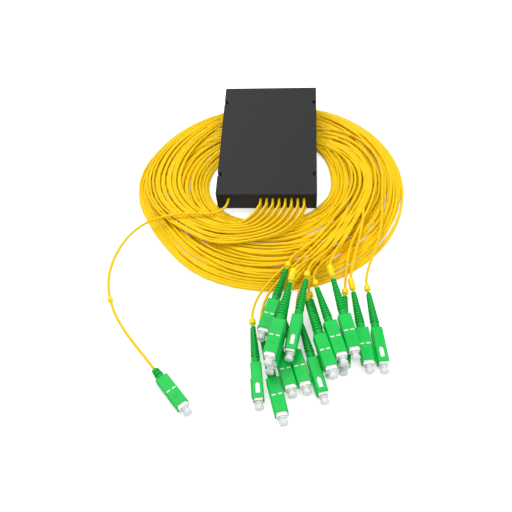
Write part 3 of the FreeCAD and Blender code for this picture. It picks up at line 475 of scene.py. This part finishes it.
@dataclass
class RibbedBoot:
    """Bend-relief boot: a tapering core with staggered half rings and two spines, made by a node tree."""

    length_mm: float = 30.0
    plain_mm: float = 4.5
    collar_mm: float = 5.6
    root_mm: float = 6.4
    tip_mm: float = 3.6
    pitch_mm: float = 2.1
    ring_mm: float = 1.25
    depth_mm: float = 0.6
    sides: int = 20
    # width and height of a spine, and how far it is sunk, as a share of the rings' depth
    spine_mm: Pair = (0.7, 0.5)
    spine_sunk: float = 0.6

    def tree(self, sizes: dict) -> NodeTree:
        """Node tree that makes the boot along -X from its root at the origin.

        Args:
            sizes: name and value of each input.

        Returns:
            A tree with inputs of those names.
        """
        tree = bpy.data.node_groups.new("ribbed_boot", "GeometryNodeTree")
        for name, value in sizes.items():
            kind = {float: "Float", int: "Int"}.get(type(value), "Material")
            tree.interface.new_socket(name, in_out="INPUT", socket_type=f"NodeSocket{kind}")
        tree.interface.new_socket("Geometry", in_out="OUTPUT", socket_type="NodeSocketGeometry")
        given = add_node(tree, "NodeGroupInput").outputs
        root, tip, depth, length, plain = (given[name] for name in (
            "Root Radius", "Tip Radius", "Depth", "Length", "Plain"))

        def maths(operation: str, first, second=0.0, third=0.0) -> NodeSocket:
            """Result of one calculation on sockets or numbers."""
            return add_node(tree, "ShaderNodeMath", {0: first, 1: second, 2: third},
                            operation=operation).outputs[0]

        def vector(**axes) -> NodeSocket:
            """Vector from sockets or numbers; an axis that isn't given is 0."""
            return add_node(tree, "ShaderNodeCombineXYZ", axes).outputs[0]

        def shape(kind: str, inputs: dict | None = None) -> NodeSocket:
            """First output of a new geometry node."""
            return add_node(tree, f"GeometryNode{kind}", inputs).outputs[0]

        drop = maths("SUBTRACT", tip, root)
        core = shape("MeshCone", {
            "Vertices": self.sides, "Radius Top": maths("SUBTRACT", tip, depth),
            "Radius Bottom": maths("SUBTRACT", root, depth), "Depth": length})
        collar = shape("MeshCone", {
            "Vertices": self.sides, "Radius Bottom": given["Collar Radius"], "Depth": plain,
            "Radius Top": maths("MULTIPLY_ADD", drop, maths("DIVIDE", plain, length), root)})
        step = maths("DIVIDE", maths("SUBTRACT", length, plain), maths("ADD", given["Rings"], 0.25))
        half_step = maths("MULTIPLY", step, 0.5)
        first = maths("MULTIPLY_ADD", step, 0.62, plain)
        line = shape("MeshLine", {
            "Count": maths("SUBTRACT", maths("MULTIPLY", given["Rings"], 2.0), 1.0),
            "Start Location": vector(Z=first), "Offset": vector(Z=half_step)})
        arc = shape("CurveArc", {
            "Resolution": 12, "Radius": 1.0, "Start Angle": math.radians(4),
            "Sweep Angle": math.radians(172)})
        profile = shape("CurvePrimitiveQuadrilateral", {
            "Width": maths("MULTIPLY", maths("DIVIDE", depth, root), 2.2), "Height": given["Ring"]})
        half_ring = shape("CurveToMesh", {"Curve": arc, "Profile Curve": profile, "Fill Caps": True})
        index = shape("InputIndex")
        side = maths("MULTIPLY", maths("MODULO", index, 2.0), math.pi)
        height = maths("MULTIPLY_ADD", index, half_step, first)
        radius = maths("MULTIPLY_ADD", height, maths("DIVIDE", drop, length), root)
        inset = maths("SUBTRACT", radius, maths("MULTIPLY", depth, 0.55))
        rings = shape("InstanceOnPoints", {
            "Points": line, "Instance": half_ring, "Scale": vector(X=inset, Y=inset, Z=1.0),
            "Rotation": vector(Z=maths("SUBTRACT", side, math.pi / 2))})
        sunk = maths("MULTIPLY", depth, self.spine_sunk)
        bar = shape("CurvePrimitiveQuadrilateral", {
            "Width": self.spine_mm[0] * MM, "Height": self.spine_mm[1] * MM})
        parts = [core, collar, rings]
        for way in (1.0, -1.0):
            near, far = (maths("MULTIPLY", maths("SUBTRACT", end, sunk), way) for end in (root, tip))
            run = shape("CurvePrimitiveLine", {
                "Start": vector(Y=near, Z=plain), "End": vector(Y=far, Z=length)})
            parts.append(shape("CurveToMesh", {"Curve": run, "Profile Curve": bar, "Fill Caps": True}))
        everything = add_node(tree, "GeometryNodeJoinGeometry")
        for part in parts:
            tree.links.new(part, everything.inputs[0])
        real = shape("RealizeInstances", {"Geometry": everything.outputs[0]})
        laid = shape("Transform", {"Geometry": real, "Rotation": (0.0, -math.pi / 2, 0.0)})
        dressed = shape("SetMaterial", {"Geometry": laid, "Material": given["Material"]})
        add_node(tree, "NodeGroupOutput", {"Geometry": dressed})
        return tree

    def mesh(self, name: str, material: Material) -> Mesh:
        """Run the tree once; the boot's root lies at the grip's rear, in the plug's own frame."""
        sizes = {"Length": self.length_mm * MM, "Plain": self.plain_mm * MM,
                 "Collar Radius": self.collar_mm / 2 * MM, "Root Radius": self.root_mm / 2 * MM,
                 "Tip Radius": self.tip_mm / 2 * MM, "Ring": self.ring_mm * MM, "Depth": self.depth_mm * MM,
                 "Rings": int((self.length_mm - self.plain_mm) / self.pitch_mm), "Material": material}
        holder = linked(f"{name}_holder", bpy.data.meshes.new(name))
        modifier = holder.modifiers.new("ribs", "NODES")
        modifier.node_group = self.tree(sizes)
        for socket in modifier.node_group.interface.items_tree:
            if socket.in_out == "INPUT":
                modifier[socket.identifier] = sizes[socket.name]
        return smooth_by_angle(baked(holder))


@dataclass
class PushPullPlug:
    """One plug: grip, plug frame, dust cap, boot and the marker sleeve on its lead."""

    palette: Palette
    frame: Frame
    grip_edge_mm: float = 0.3
    half_height_mm: float = 3.7
    # length, width and height of a white bar, where its middle lies and how deep it is sunk
    bar_mm: Triple = (0.8, 2.6, 0.3)
    bar_along_mm: float = 12.0
    bar_off_mm: float = 2.1
    bar_sunk_mm: float = 0.02
    # the mark's rear, the middle of its bend, its outer and inner radius, and its underside and top
    mark_mm: tuple[float, float, float, float] = (15.8, 17.6, 1.25, 0.85)
    mark_lifts_mm: Pair = (-0.1, 0.06)
    mark_steps: int = 10
    # dust cap: places ahead of the plug frame's front and radii
    cap_mm: tuple[Pair, ...] = (
        (-6.0, 1.9), (-5.8, 2.2), (-0.1, 2.2), (0.3, 2.2), (0.32, 2.75), (0.5, 2.9), (1.2, 2.9), (1.4, 2.75),
        (1.45, 2.3), (1.7, 2.2), (2.6, 2.2), (2.9, 2.35), (3.05, 2.75), (3.25, 2.9), (4.7, 2.9), (5.2, 2.7),
        (5.35, 2.3))
    sleeve_lip_mm: float = 1.15
    shared: dict[str, Mesh] = field(default_factory=dict)

    def mould_mark(self) -> Mesh:
        """Shallow U left by the mould on the wide face, ahead of the cross slots; grip gives it a darker
        green as painted shade.
        """
        shape = bmesh.new()
        rear, bend, outer, inner = self.mark_mm
        arc = [math.pi / 2 - math.pi * i / self.mark_steps for i in range(self.mark_steps + 1)]
        around = [(rear, outer), *((bend + outer * math.cos(a), outer * math.sin(a)) for a in arc),
                  (rear, -outer), (rear, -inner),
                  *((bend + inner * math.cos(a), inner * math.sin(a)) for a in reversed(arc)), (rear, inner)]
        low, high = ([shape.verts.new((x * MM, y * MM, (self.half_height_mm + lift) * MM))
                      for x, y in around] for lift in self.mark_lifts_mm)
        for i in range(len(low)):
            j = (i + 1) % len(low)
            shape.faces.new((low[i], low[j], high[j], high[i]))
        shape.faces.new(high)
        shape.faces.new(list(reversed(low)))
        bmesh.ops.recalc_face_normals(shape, faces=shape.faces)
        return from_bmesh("mould_mark", shape)

    def slot_bars(self) -> Mesh:
        """White bars that show in the cross slots of both wide faces."""
        shape = bmesh.new()
        size = Matrix.Diagonal((*(Vector(self.bar_mm) * MM), 1))
        height = self.half_height_mm - self.bar_mm[2] / 2 - self.bar_sunk_mm
        for side in (1, -1):
            for face in (1, -1):
                centre = Vector((self.bar_along_mm, side * self.bar_off_mm, face * height)) * MM
                bmesh.ops.create_cube(shape, size=1.0, matrix=Matrix.Translation(centre) @ size)
        return from_bmesh("slot_bars", shape)

    def grip(self, place: PlugPlace) -> list[Object]:
        """Grip with broken edges, its mould mark in a darker green as painted shade, and the white in its
        slots, on its own body.
        """
        node = f"grip_{place.tag}"
        shell = linked(f"{node}_moulded", self.frame.softened(node, self.grip_edge_mm))
        mark = linked(f"{node}_mark", self.mould_mark())
        bars = linked(f"{node}_bars", self.slot_bars())
        for piece in (mark, bars):
            piece.data.transform(place.matrix(self.frame))
        # the boot's darker green on the mould mark is painted shade of its shallow relief
        return [self.palette.put(piece, slot, node, node) for piece, slot in (
            (shell, Slot.GRIP_GREEN), (mark, Slot.BOOT_GREEN), (bars, Slot.PLUG_WHITE))]

    def cap(self, place: PlugPlace) -> Object:
        """Dust cap with rounded rims, on its own body."""
        node = f"dust_cap_{place.tag}"
        mesh = lathe(node, [(PLUG_FRONT_MM + ahead, radius) for ahead, radius in self.cap_mm])
        mesh.transform(place.matrix(self.frame))
        return self.palette.put(linked(f"{node}_moulded", mesh), Slot.CAP_CLEAR, node, node)

    def boot(self, place: PlugPlace, boot: RibbedBoot, node: str) -> Object:
        """Ribbed boot at the rear of the grip."""
        key = f"boot_{boot.length_mm}"
        if key not in self.shared:
            self.shared[key] = boot.mesh(key, self.palette.material(Slot.BOOT_GREEN))
        mesh = self.shared[key].copy()
        mesh.transform(place.matrix(self.frame))
        return self.palette.put(linked(f"boot_{place.tag}", mesh), Slot.BOOT_GREEN, ROOT_BODY, node)

    def sleeve(self, place: PlugPlace, start: Vector, toward: Vector, length_mm: float,
               radius_mm: float) -> Object:
        """Marker sleeve of a plug's lead, from its start toward a point further along, both in metres."""
        lip, end, shoulder = self.sleeve_lip_mm, 0.15, 0.12
        taper = radius_mm * 0.72
        profile = [(0.0, lip), (end, taper), (length_mm * shoulder, radius_mm),
                   (length_mm * (1 - shoulder), radius_mm), (length_mm - end, taper), (length_mm, lip)]
        mesh = lathe(f"sleeve_{place.tag}", profile, 18)
        ahead = (toward - start).normalized()
        turn = ahead.to_track_quat("X", "Z").to_matrix().to_4x4()
        mesh.transform(Matrix.Translation(start) @ turn)
        piece = linked(f"sleeve_{place.tag}", mesh)
        return self.palette.put(piece, Slot.MARKER_YELLOW, ROOT_BODY, "marker_rings")


# ------------------------------------------------------------------ cables

def nurbs_cable(name: str, points: Sequence[Vector], diameter_mm: float, resolution: int) -> Object:
    """One smooth round cable, an open spline along control points in metres, with steps between them."""
    curve = bpy.data.curves.new(name, "CURVE")
    curve.dimensions = "3D"
    curve.bevel_depth = diameter_mm / 2 * MM
    curve.bevel_resolution = 3
    curve.use_fill_caps = True
    spline = curve.splines.new("NURBS")
    spline.points.add(len(points) - 1)
    for slot, point in zip(spline.points, points):
        slot.co = (*point, 1.0)
    spline.order_u = 3
    spline.use_endpoint_u = True
    spline.resolution_u = resolution
    return linked(name, curve)


def route_length(points: Sequence[Vector]) -> float:
    """Length of the smooth line that a row of control points makes, near enough to be logged."""
    middles = [(a + b) / 2 for a, b in zip(points[1:], points[2:-1])]
    line = [points[0], *middles, points[-1]]
    total = 0.0
    for before, corner, after in zip(line, points[1:-1], line[1:]):
        chord = (after - before).length
        legs = (corner - before).length + (after - corner).length
        total += (2 * chord + legs) / 3
    return total


@dataclass(frozen=True)
class Knot:
    """Where a lead is on its way round: degrees turned, share of the coil's width, height in mm."""

    turned: float
    share: float
    height: float


@dataclass
class OutputCoil:
    """Sixteen output leads wound clockwise, seen from above, into one loose ring.

    Angles are counted from the front of the ring, clockwise. Every lead comes in over the front, crosses the
    left side on top, then lies in the ring for five turns and leaves over the right side on top again.
    """

    box: CassetteBox
    palette: Palette
    frame: Frame
    cable_mm: float = 2.0
    centre_mm: Pair = (2.0, -36.0)
    layer_mm: float = 1.95
    step_deg: float = 20.0
    leads: int = 16
    turns: int = 5
    declared_m: float = 3.0
    seed: int = 11
    # where the box presses on the leads: to its sides, from its port wall forward and back, and the gap
    box_reach_mm: Triple = (42.5, -2.0, 123.0)
    box_gap_mm: float = 0.35
    # inner and outer radius of the ring by angle: degrees, mm, mm
    rims: tuple[Triple, ...] = (
        (0, 39.5, 107), (30, 41.5, 106.5), (60, 48.5, 103), (88, 52, 114.5), (118, 51, 113), (140, 51, 107),
        (180, 52, 105), (225, 53, 109.5), (270, 51, 111), (300, 46, 111), (325, 40.5, 110), (360, 39.5, 107))
    # first free points of the leads from the outermost left and right ports, mm
    left_finger: tuple[Triple, ...] = (
        (-6.0, -67.0, 11.0), (-9.5, -74.0, 10.4), (-15.0, -80.0, 9.6), (-23.0, -84.0, 8.8))
    right_finger: tuple[Triple, ...] = (
        (30.0, -66.5, 11.4), (27.0, -75.0, 11.0), (21.0, -84.0, 10.2), (11.5, -93.0, 9.2))
    # how far a lower lead lies from the upper one of its column, mm
    lower_shift: Triple = (1.6, 0.5, -2.2)
    # end of the straight stretch ahead of the port wall, and the least height over the ring
    straight_mm: float = -5.0
    ring_top_mm: float = 7.0
    # the ring in which each of a lead's five turns lies, counted from the inside
    orders: tuple[tuple[int, ...], ...] = (
        (4, 3, 2, 1, 0), (3, 4, 2, 1, 0), (4, 2, 3, 1, 0), (4, 3, 1, 2, 0), (4, 3, 2, 0, 1), (4, 3, 2, 1, 0))

    @staticmethod
    def ease(share: float) -> float:
        """Smooth step from 0 to 1."""
        share = min(1.0, max(0.0, share))
        return share * share * (3 - 2 * share)

    def rim(self, turned: float) -> Pair:
        """Inner and outer radius of the ring at an angle, for the middle of a cable, in millimetres."""
        turned %= 360
        for low, high in zip(self.rims, self.rims[1:]):
            if turned <= high[0]:
                part = self.ease((turned - low[0]) / (high[0] - low[0]))
                inner, outer = (low[i] + (high[i] - low[i]) * part for i in (1, 2))
                return inner + self.cable_mm / 2, outer - self.cable_mm / 2
        return self.rims[0][1], self.rims[0][2]

    def ring_point(self, turned: float, share: float, height: float) -> Vector:
        """Point of the ring in metres, from its angle, share of the width and height in millimetres."""
        inner, outer = self.rim(turned)
        radius = inner + (outer - inner) * share
        angle = math.radians(-90 - turned)
        return Vector((self.centre_mm[0] + radius * math.cos(angle),
                       self.centre_mm[1] + radius * math.sin(angle), height)) * MM

    def ring_place(self, point: Vector, lap: int) -> Knot:
        """Knot of a point in metres, after so many whole turns, give or take half a turn."""
        across, along = point.x / MM - self.centre_mm[0], point.y / MM - self.centre_mm[1]
        turned = (-90 - math.degrees(math.atan2(along, across)) + 180) % 360 - 180
        inner, outer = self.rim(turned)
        return Knot(turned + 360 * lap, (math.hypot(across, along) - inner) / (outer - inner), point.z / MM)

    def box_room(self, point: Vector) -> Vector:
        """The same point, lowered where the box lies over the coil."""
        beside, ahead, behind = (mm * MM for mm in self.box_reach_mm)
        if abs(point.x) > beside:
            return point
        local = self.box.frame_matrix().inverted() @ point
        ceiling = -(self.cable_mm / 2 + self.box_gap_mm) * MM
        if ahead < local.y < behind and local.z > ceiling:
            local.z = ceiling
            point = self.box.frame_matrix() @ local
            point.z = max(point.z, self.cable_mm / 2 * MM)
        return point

    def port_points(self, column: int, upper: bool) -> list[Vector]:
        """First stretch of a lead: straight out of its port, then over the ring's inner rim to the left."""
        part = column / (self.box.port_columns - 1)
        shift = Vector((0, 0, 0)) if upper else Vector(self.lower_shift)
        free = [Vector(left).lerp(Vector(right), part) + shift
                for left, right in zip(self.left_finger, self.right_finger)]
        free[-1].z = max(free[-1].z, self.ring_top_mm)
        straight = [self.box.port(column, upper, along)
                    for along in (self.box.cable_start_mm, self.straight_mm)]
        return straight + [point * MM for point in free]

    def slots(self, rng: random.Random) -> list[list[int]]:
        """For each quarter of the ring, the place of every lead in its row of sixteen, nearly in order."""
        return [sorted(range(self.leads), key=lambda n: n + rng.uniform(-3, 3)) for _ in range(4)]

    def knots(self, number: int, rows: list[list[int]], rng: random.Random) -> list[Knot]:
        """Knots of a lead from its first crossing of the left side to its last pass under the box.

        Args:
            number: the lead's number, from the leftmost port.
            rows: the leads' order in each quarter.
            rng: source of the small unevenness.

        Returns:
            The knots in the order in which the lead meets them.
        """
        part = number / (self.leads - 1)
        found = [Knot(46, 0.24 + 0.41 * part, 8.4), Knot(72, 0.36 + 0.50 * part, 8.0),
                 Knot(104, 0.43 + 0.46 * part, 7.8)]
        early, late = rng.choice(self.orders), rng.choice(self.orders)
        turn_orders = (None, early, rng.choice((early, late)), late)
        for lap in range(self.turns + 1):
            for quarter in range(4):
                if quarter and lap == self.turns:
                    break
                rings = self.turns + (quarter == 0)
                ring = self.turns - lap if quarter == 0 else turn_orders[quarter][lap]
                slot = ring * self.leads + rows[quarter].index(number)
                share = slot / (rings * self.leads - 1)
                lift = min(1.0, max(0.25, min(share, 1 - share) * 6.0))
                height = self.cable_mm / 2 + self.layer_mm * (0, 2, 1)[slot % 3] * lift
                found.append(Knot(180 + 360 * lap + 90 * quarter + rng.uniform(-9, 9), share, height))
        return found

    def laid(self, knots: list[Knot], rng: random.Random) -> list[Vector]:
        """Control points between the first and the last knot, at even angles."""
        count = int((knots[-1].turned - knots[0].turned) / self.step_deg)
        phases = [rng.uniform(0, 2 * math.pi) for _ in range(2)]
        points, leg = [], 0
        for i in range(1, count):
            turned = knots[0].turned + (knots[-1].turned - knots[0].turned) * i / count
            while turned > knots[leg + 1].turned:
                leg += 1
            low, high = knots[leg], knots[leg + 1]
            part = self.ease((turned - low.turned) / (high.turned - low.turned))
            share = low.share + (high.share - low.share) * part
            share += 0.012 * (math.sin(turned / 31 + phases[0]) + math.sin(turned / 74 + phases[1]))
            height = low.height + (high.height - low.height) * part
            points.append(self.box_room(self.ring_point(turned, min(max(share, 0.0), 1.0), height)))
        return points

    def plug_points(self, place: PlugPlace, way: Sequence[Pair]) -> list[Vector]:
        """Last stretch of a lead, from the top of the ring to inside its boot.

        Args:
            place: the plug at the end.
            way: x, y in millimetres of three places on the ring and of one outside its rim.

        Returns:
            The points in order.
        """
        first, tail, inside = (place.on_axis(self.frame, along) for along in (-42.0, -30.0, -23.0))
        height = 8.6 if first.z > 9 * MM else 8.0
        top = [Vector((x, y, z)) * MM for (x, y), z in zip(way, (8.2, 8.8, height))]
        edge = Vector((way[3][0] * MM, way[3][1] * MM, (first.z + height * MM) / 2))
        return top + [edge, first, tail, inside]

    def lead(self, number: int, place: PlugPlace, way: Sequence[Pair],
             plug_pieces: list[Object], rows: list[list[int]], rng: random.Random) -> None:
        """One output lead from its port, round the ring, to its plug."""
        column, upper = number // 2, number % 2 == 1
        opening = self.port_points(column, upper)
        closing = self.plug_points(place, way)
        last = self.ring_place(closing[0], self.turns + 1)
        rise = Knot(last.turned - 42, last.share + 0.05, 7.4)
        knots = [self.ring_place(opening[-1], 0)] + self.knots(number, rows, rng) + [rise, last]
        points = opening + self.laid(knots, rng) + closing
        cable = nurbs_cable(f"output_lead_{place.tag}", points, self.cable_mm, 3)
        self.palette.put(cable, Slot.CABLE_YELLOW, ROOT_BODY, "port_leads", "cable_coil", "plug_leads")
        tuple(self.box.port(column, upper))
        LOG.info("lead %s: %.3f m", place.tag, route_length(points))


@dataclass
class InputLead:
    """The one input lead: out of its port, over the coil and round to its plug."""

    box: CassetteBox
    palette: Palette
    frame: Frame
    cable_mm: float = 2.0
    boot_mm: float = 9.0
    # straight stretches ahead of the port wall and behind the boot
    straight_mm: float = -4.5
    stub_mm: float = 9.0

    def points(self, place: PlugPlace) -> list[Vector]:
        """Control points of the lead, in metres."""
        free = [(-34.0, -71.0, 11.4), (-43.0, -76.0, 11.6), (-59.0, -75.0, 12.0), (-75.0, -77.0, 12.0),
                (-90.0, -80.5, 10.0), (-103.5, -87.0, 5.0), (-112.0, -98.5, 1.8), (-116.0, -113.0, 1.3),
                (-116.5, -128.0, 1.7), (-114.0, -142.0, 2.2), (-109.0, -155.5, 2.1), (-101.5, -168.5, 1.5),
                (-92.0, -181.0, 1.7), (-82.5, -192.0, 3.2)]
        start = [self.box.input_port(along) for along in (self.box.cable_start_mm, self.straight_mm)]
        finish = [place.on_axis(self.frame, -self.boot_mm - back) for back in (self.stub_mm, 0)]
        return start + [Vector(p) * MM for p in free] + finish

    def build(self, place: PlugPlace, pieces: list[Object]) -> None:
        points = self.points(place)
        cable = nurbs_cable("input_lead_cable", points, self.cable_mm, 6)
        self.palette.put(cable, Slot.CABLE_YELLOW, ROOT_BODY, "input_lead")
        tuple(self.box.input_port())


# ------------------------------------------------------------------ studio

@dataclass
class Studio:
    """Pale bench, soft light and the camera."""

    eye_mm: Triple = (28.6, -399.8, 376.1)
    ahead: Triple = (-0.0734, 0.6115, -0.7879)
    right: Triple = (0.9973, 0.0498, -0.0542)
    lens_mm: float = 44.06
    sky: float = 0.48
    bench_glow: float = 0.5
    bench_m: float = 6.0
    aim_m: Triple = (0.0, -0.06, 0.0)

    def camera(self) -> None:
        """Camera above the port side, turned a little about its own axis."""
        ahead = Vector(self.ahead).normalized()
        right = Vector(self.right)
        right = (right - ahead * right.dot(ahead)).normalized()
        upward = right.cross(ahead)
        data = bpy.data.cameras.new("camera")
        data.lens = self.lens_mm
        data.sensor_width = 36.0
        data.clip_start, data.clip_end = 0.01, 20.0
        camera = linked("camera", data)
        turn = Matrix((right, upward, -ahead)).transposed().to_4x4()
        camera.matrix_world = Matrix.Translation(Vector(self.eye_mm) * MM) @ turn
        bpy.context.scene.camera = camera

    @staticmethod
    def seen_strength(tree: NodeTree, seen: float, unseen: float) -> NodeSocket:
        """Strength of a glow: one for camera, glossy and transmitted rays, one for those that light."""
        path = add_node(tree, "ShaderNodeLightPath").outputs
        direct = add_node(tree, "ShaderNodeMath", {0: path["Is Camera Ray"], 1: path["Is Glossy Ray"]},
                          operation="MAXIMUM")
        either = add_node(tree, "ShaderNodeMath", {0: direct.outputs[0], 1: path["Is Transmission Ray"]},
                          operation="MAXIMUM")
        return add_node(tree, "ShaderNodeMath", {0: either.outputs[0], 1: seen - unseen, 2: unseen},
                        operation="MULTIPLY_ADD").outputs[0]

    def bench(self) -> None:
        """White bench that keeps the object's soft shadow."""
        mesh = bpy.data.meshes.new("bench")
        rim = [(x * self.bench_m, y * self.bench_m, 0) for x, y in ((-1, -1), (1, -1), (1, 1), (-1, 1))]
        mesh.from_pydata(rim, [], [(0, 1, 2, 3)])
        bench = linked("bench", mesh)
        material = bpy.data.materials.new("bench_laminate_white")
        tree = empty_tree(material)
        place = add_node(tree, "ShaderNodeTexCoord")
        grain = add_node(tree, "ShaderNodeTexNoise", {"Vector": place.outputs["Object"], "Scale": 40.0})
        gloss = add_node(tree, "ShaderNodeMapRange", {
            "Value": grain.outputs["Fac"], "To Min": 0.6, "To Max": 0.8})
        board = add_node(tree, "ShaderNodeBsdfPrincipled", {
            "Base Color": linear("#F4F4F4"), "Roughness": gloss.outputs["Result"],
            "Specular IOR Level": 0.2})
        strength = self.seen_strength(tree, self.bench_glow, 0.0)
        lift = add_node(tree, "ShaderNodeEmission", {"Color": (1, 1, 1, 1), "Strength": strength})
        both = add_node(tree, "ShaderNodeAddShader", {0: board.outputs[0], 1: lift.outputs[0]})
        add_node(tree, "ShaderNodeOutputMaterial", {"Surface": both.outputs[0]})
        mesh.materials.append(material)

    def lamp(self, name: str, place: Triple, size: float, watts: float) -> None:
        """Square soft lamp that looks at the middle of the object."""
        data = bpy.data.lights.new(name, "AREA")
        data.size = size
        data.energy = watts
        lamp = linked(name, data)
        aim = Vector(self.aim_m) - Vector(place)
        lamp.matrix_world = Matrix.Translation(place) @ aim.to_track_quat("-Z", "Y").to_matrix().to_4x4()

    def light(self) -> None:
        """Even surrounding light with one broad lamp from above and behind and a weaker one in front."""
        world = bpy.data.worlds.new("studio")
        tree = empty_tree(world)
        back = add_node(tree, "ShaderNodeBackground", {
            "Color": (1, 1, 1, 1), "Strength": self.seen_strength(tree, 1.0, self.sky)})
        add_node(tree, "ShaderNodeOutputWorld", {"Surface": back.outputs[0]})
        bpy.context.scene.world = world
        self.lamp("key", (-0.3, 0.45, 1.15), 0.9, 11.0)
        self.lamp("fill", (0.5, -0.7, 0.9), 0.8, 4.0)

    def build(self) -> None:
        """Set up the whole studio."""
        self.camera()
        self.bench()
        self.light()
        view = bpy.context.scene.view_settings
        view.view_transform = "Standard"


# ------------------------------------------------------------------ whole product

@dataclass
class Splitter:
    """The whole splitter, built sub-assembly by sub-assembly."""

    frame: Frame
    palette: Palette
    window_up: tuple[int, ...] = (1, 5, 9, 15)
    long_sleeves: tuple[int, ...] = (3, 4, 13, 14)
    # length and radius of an output lead's sleeve, and its rear end behind the grip
    sleeve_mm: Triple = (4.5, 2.3, -31.5)
    long_sleeve_mm: float = 10.0
    # x, y of each output lead: twice on top of the ring, near its rim, and outside it
    ways: tuple[tuple[Pair, ...], ...] = (
        ((58, -68), (39, -98), (11, -129), (-1.5, -146)), ((62, -58), (50, -82), (40, -97), (30, -107)),
        ((66, -64), (54, -92), (40, -113), (31, -127)), ((64, -68), (50, -98), (35, -117), (28, -129)),
        ((68, -68), (58, -89), (50, -106.5), (41, -120)), ((60, -74), (40, -102), (14, -133), (2.2, -150)),
        ((62, -78), (42, -104), (23, -127.5), (12, -142)), ((60, -84), (45, -108), (31, -125), (20, -139.5)),
        ((68, -80), (52, -104), (37.5, -121.5), (28, -139)),
        ((70, -78), (60, -100), (50, -117.5), (36.5, -133)),
        ((72, -72), (62, -94), (52.5, -111), (42, -124)), ((79, -70), (71, -88), (64, -105), (61.5, -120)),
        ((76, -60), (66, -84), (57, -102), (51.5, -116.5)),
        ((77, -56), (75, -82), (69.5, -105), (65.5, -121)),
        ((91, -56), (90, -78), (86.5, -96), (79, -117)), ((68, -74), (56, -96), (46, -113), (38.5, -127)))

    def places(self) -> dict[int, PlugPlace]:
        """The sixteen output plugs by number."""
        return {n: PlugPlace(f"{n:02d}", f"output_plug_{n:02d}",
                             Side.WINDOW if n in self.window_up else Side.WIDE) for n in range(1, 17)}

    def build_outputs(self, box: CassetteBox, plug: PushPullPlug) -> None:
        """Make the sixteen output plugs, each with its lead, from the leftmost port to the right."""
        coil = OutputCoil(box, self.palette, self.frame)
        boot = RibbedBoot()
        rng = random.Random(coil.seed)
        places = self.places()
        rows = coil.slots(rng)

        def turned(number: int) -> float:
            """Angle round the ring at which a plug's boot ends."""
            return coil.ring_place(places[number].on_axis(self.frame, -boot.length_mm), 0).turned

        usual, radius, rear = self.sleeve_mm
        for number, plug_number in enumerate(sorted(places, key=turned, reverse=True)):
            place = places[plug_number]
            start, toward = (place.on_axis(self.frame, along) for along in (rear, -42))
            length = self.long_sleeve_mm if plug_number in self.long_sleeves else usual
            pieces = [*plug.grip(place), plug.cap(place), plug.boot(place, boot, "output_boots"),
                      plug.sleeve(place, start, toward, length, radius)]
            coil.lead(number, place, self.ways[plug_number - 1], pieces, rows, rng)
        LOG.info("output leads and plugs: %d", len(places))

    def build_input(self, box: CassetteBox, plug: PushPullPlug) -> None:
        """Make the input plug with its short boot, its sleeve halfway along the lead, and its lead."""
        entry = PlugPlace("in", "input_plug", Side.WIDE)
        lead = InputLead(box, self.palette, self.frame)
        short = RibbedBoot(length_mm=9.0, plain_mm=2.6, tip_mm=4.6, pitch_mm=2.2)
        points = lead.points(entry)
        on_cable = (points[11] + points[12]) / 2
        pieces = [*plug.grip(entry), plug.cap(entry), plug.boot(entry, short, "input_boot"),
                  plug.sleeve(entry, on_cable, points[12], 4.0, 2.0)]
        lead.build(entry, pieces)
        LOG.info("input lead and plug")

    def build(self) -> None:
        """Make every piece in order."""
        box = CassetteBox()
        box.build(self.frame, self.palette)
        plug = PushPullPlug(self.palette, self.frame)
        self.build_outputs(box, plug)
        self.build_input(box, plug)
        for node in ("plug_frames", "ferrules", "crimp_bodies"):
            self.palette.dress(self.frame.nodes[node], Slot[self.frame.slots[node].upper()])


def main() -> None:
    """Load the frame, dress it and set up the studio."""
    logging.basicConfig(level=logging.INFO, format="%(name)s: %(message)s")
    frame = Frame(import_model())
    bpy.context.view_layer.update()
    Splitter(frame, Palette()).build()
    Studio().build()


if __name__ == "__main__":
    main()
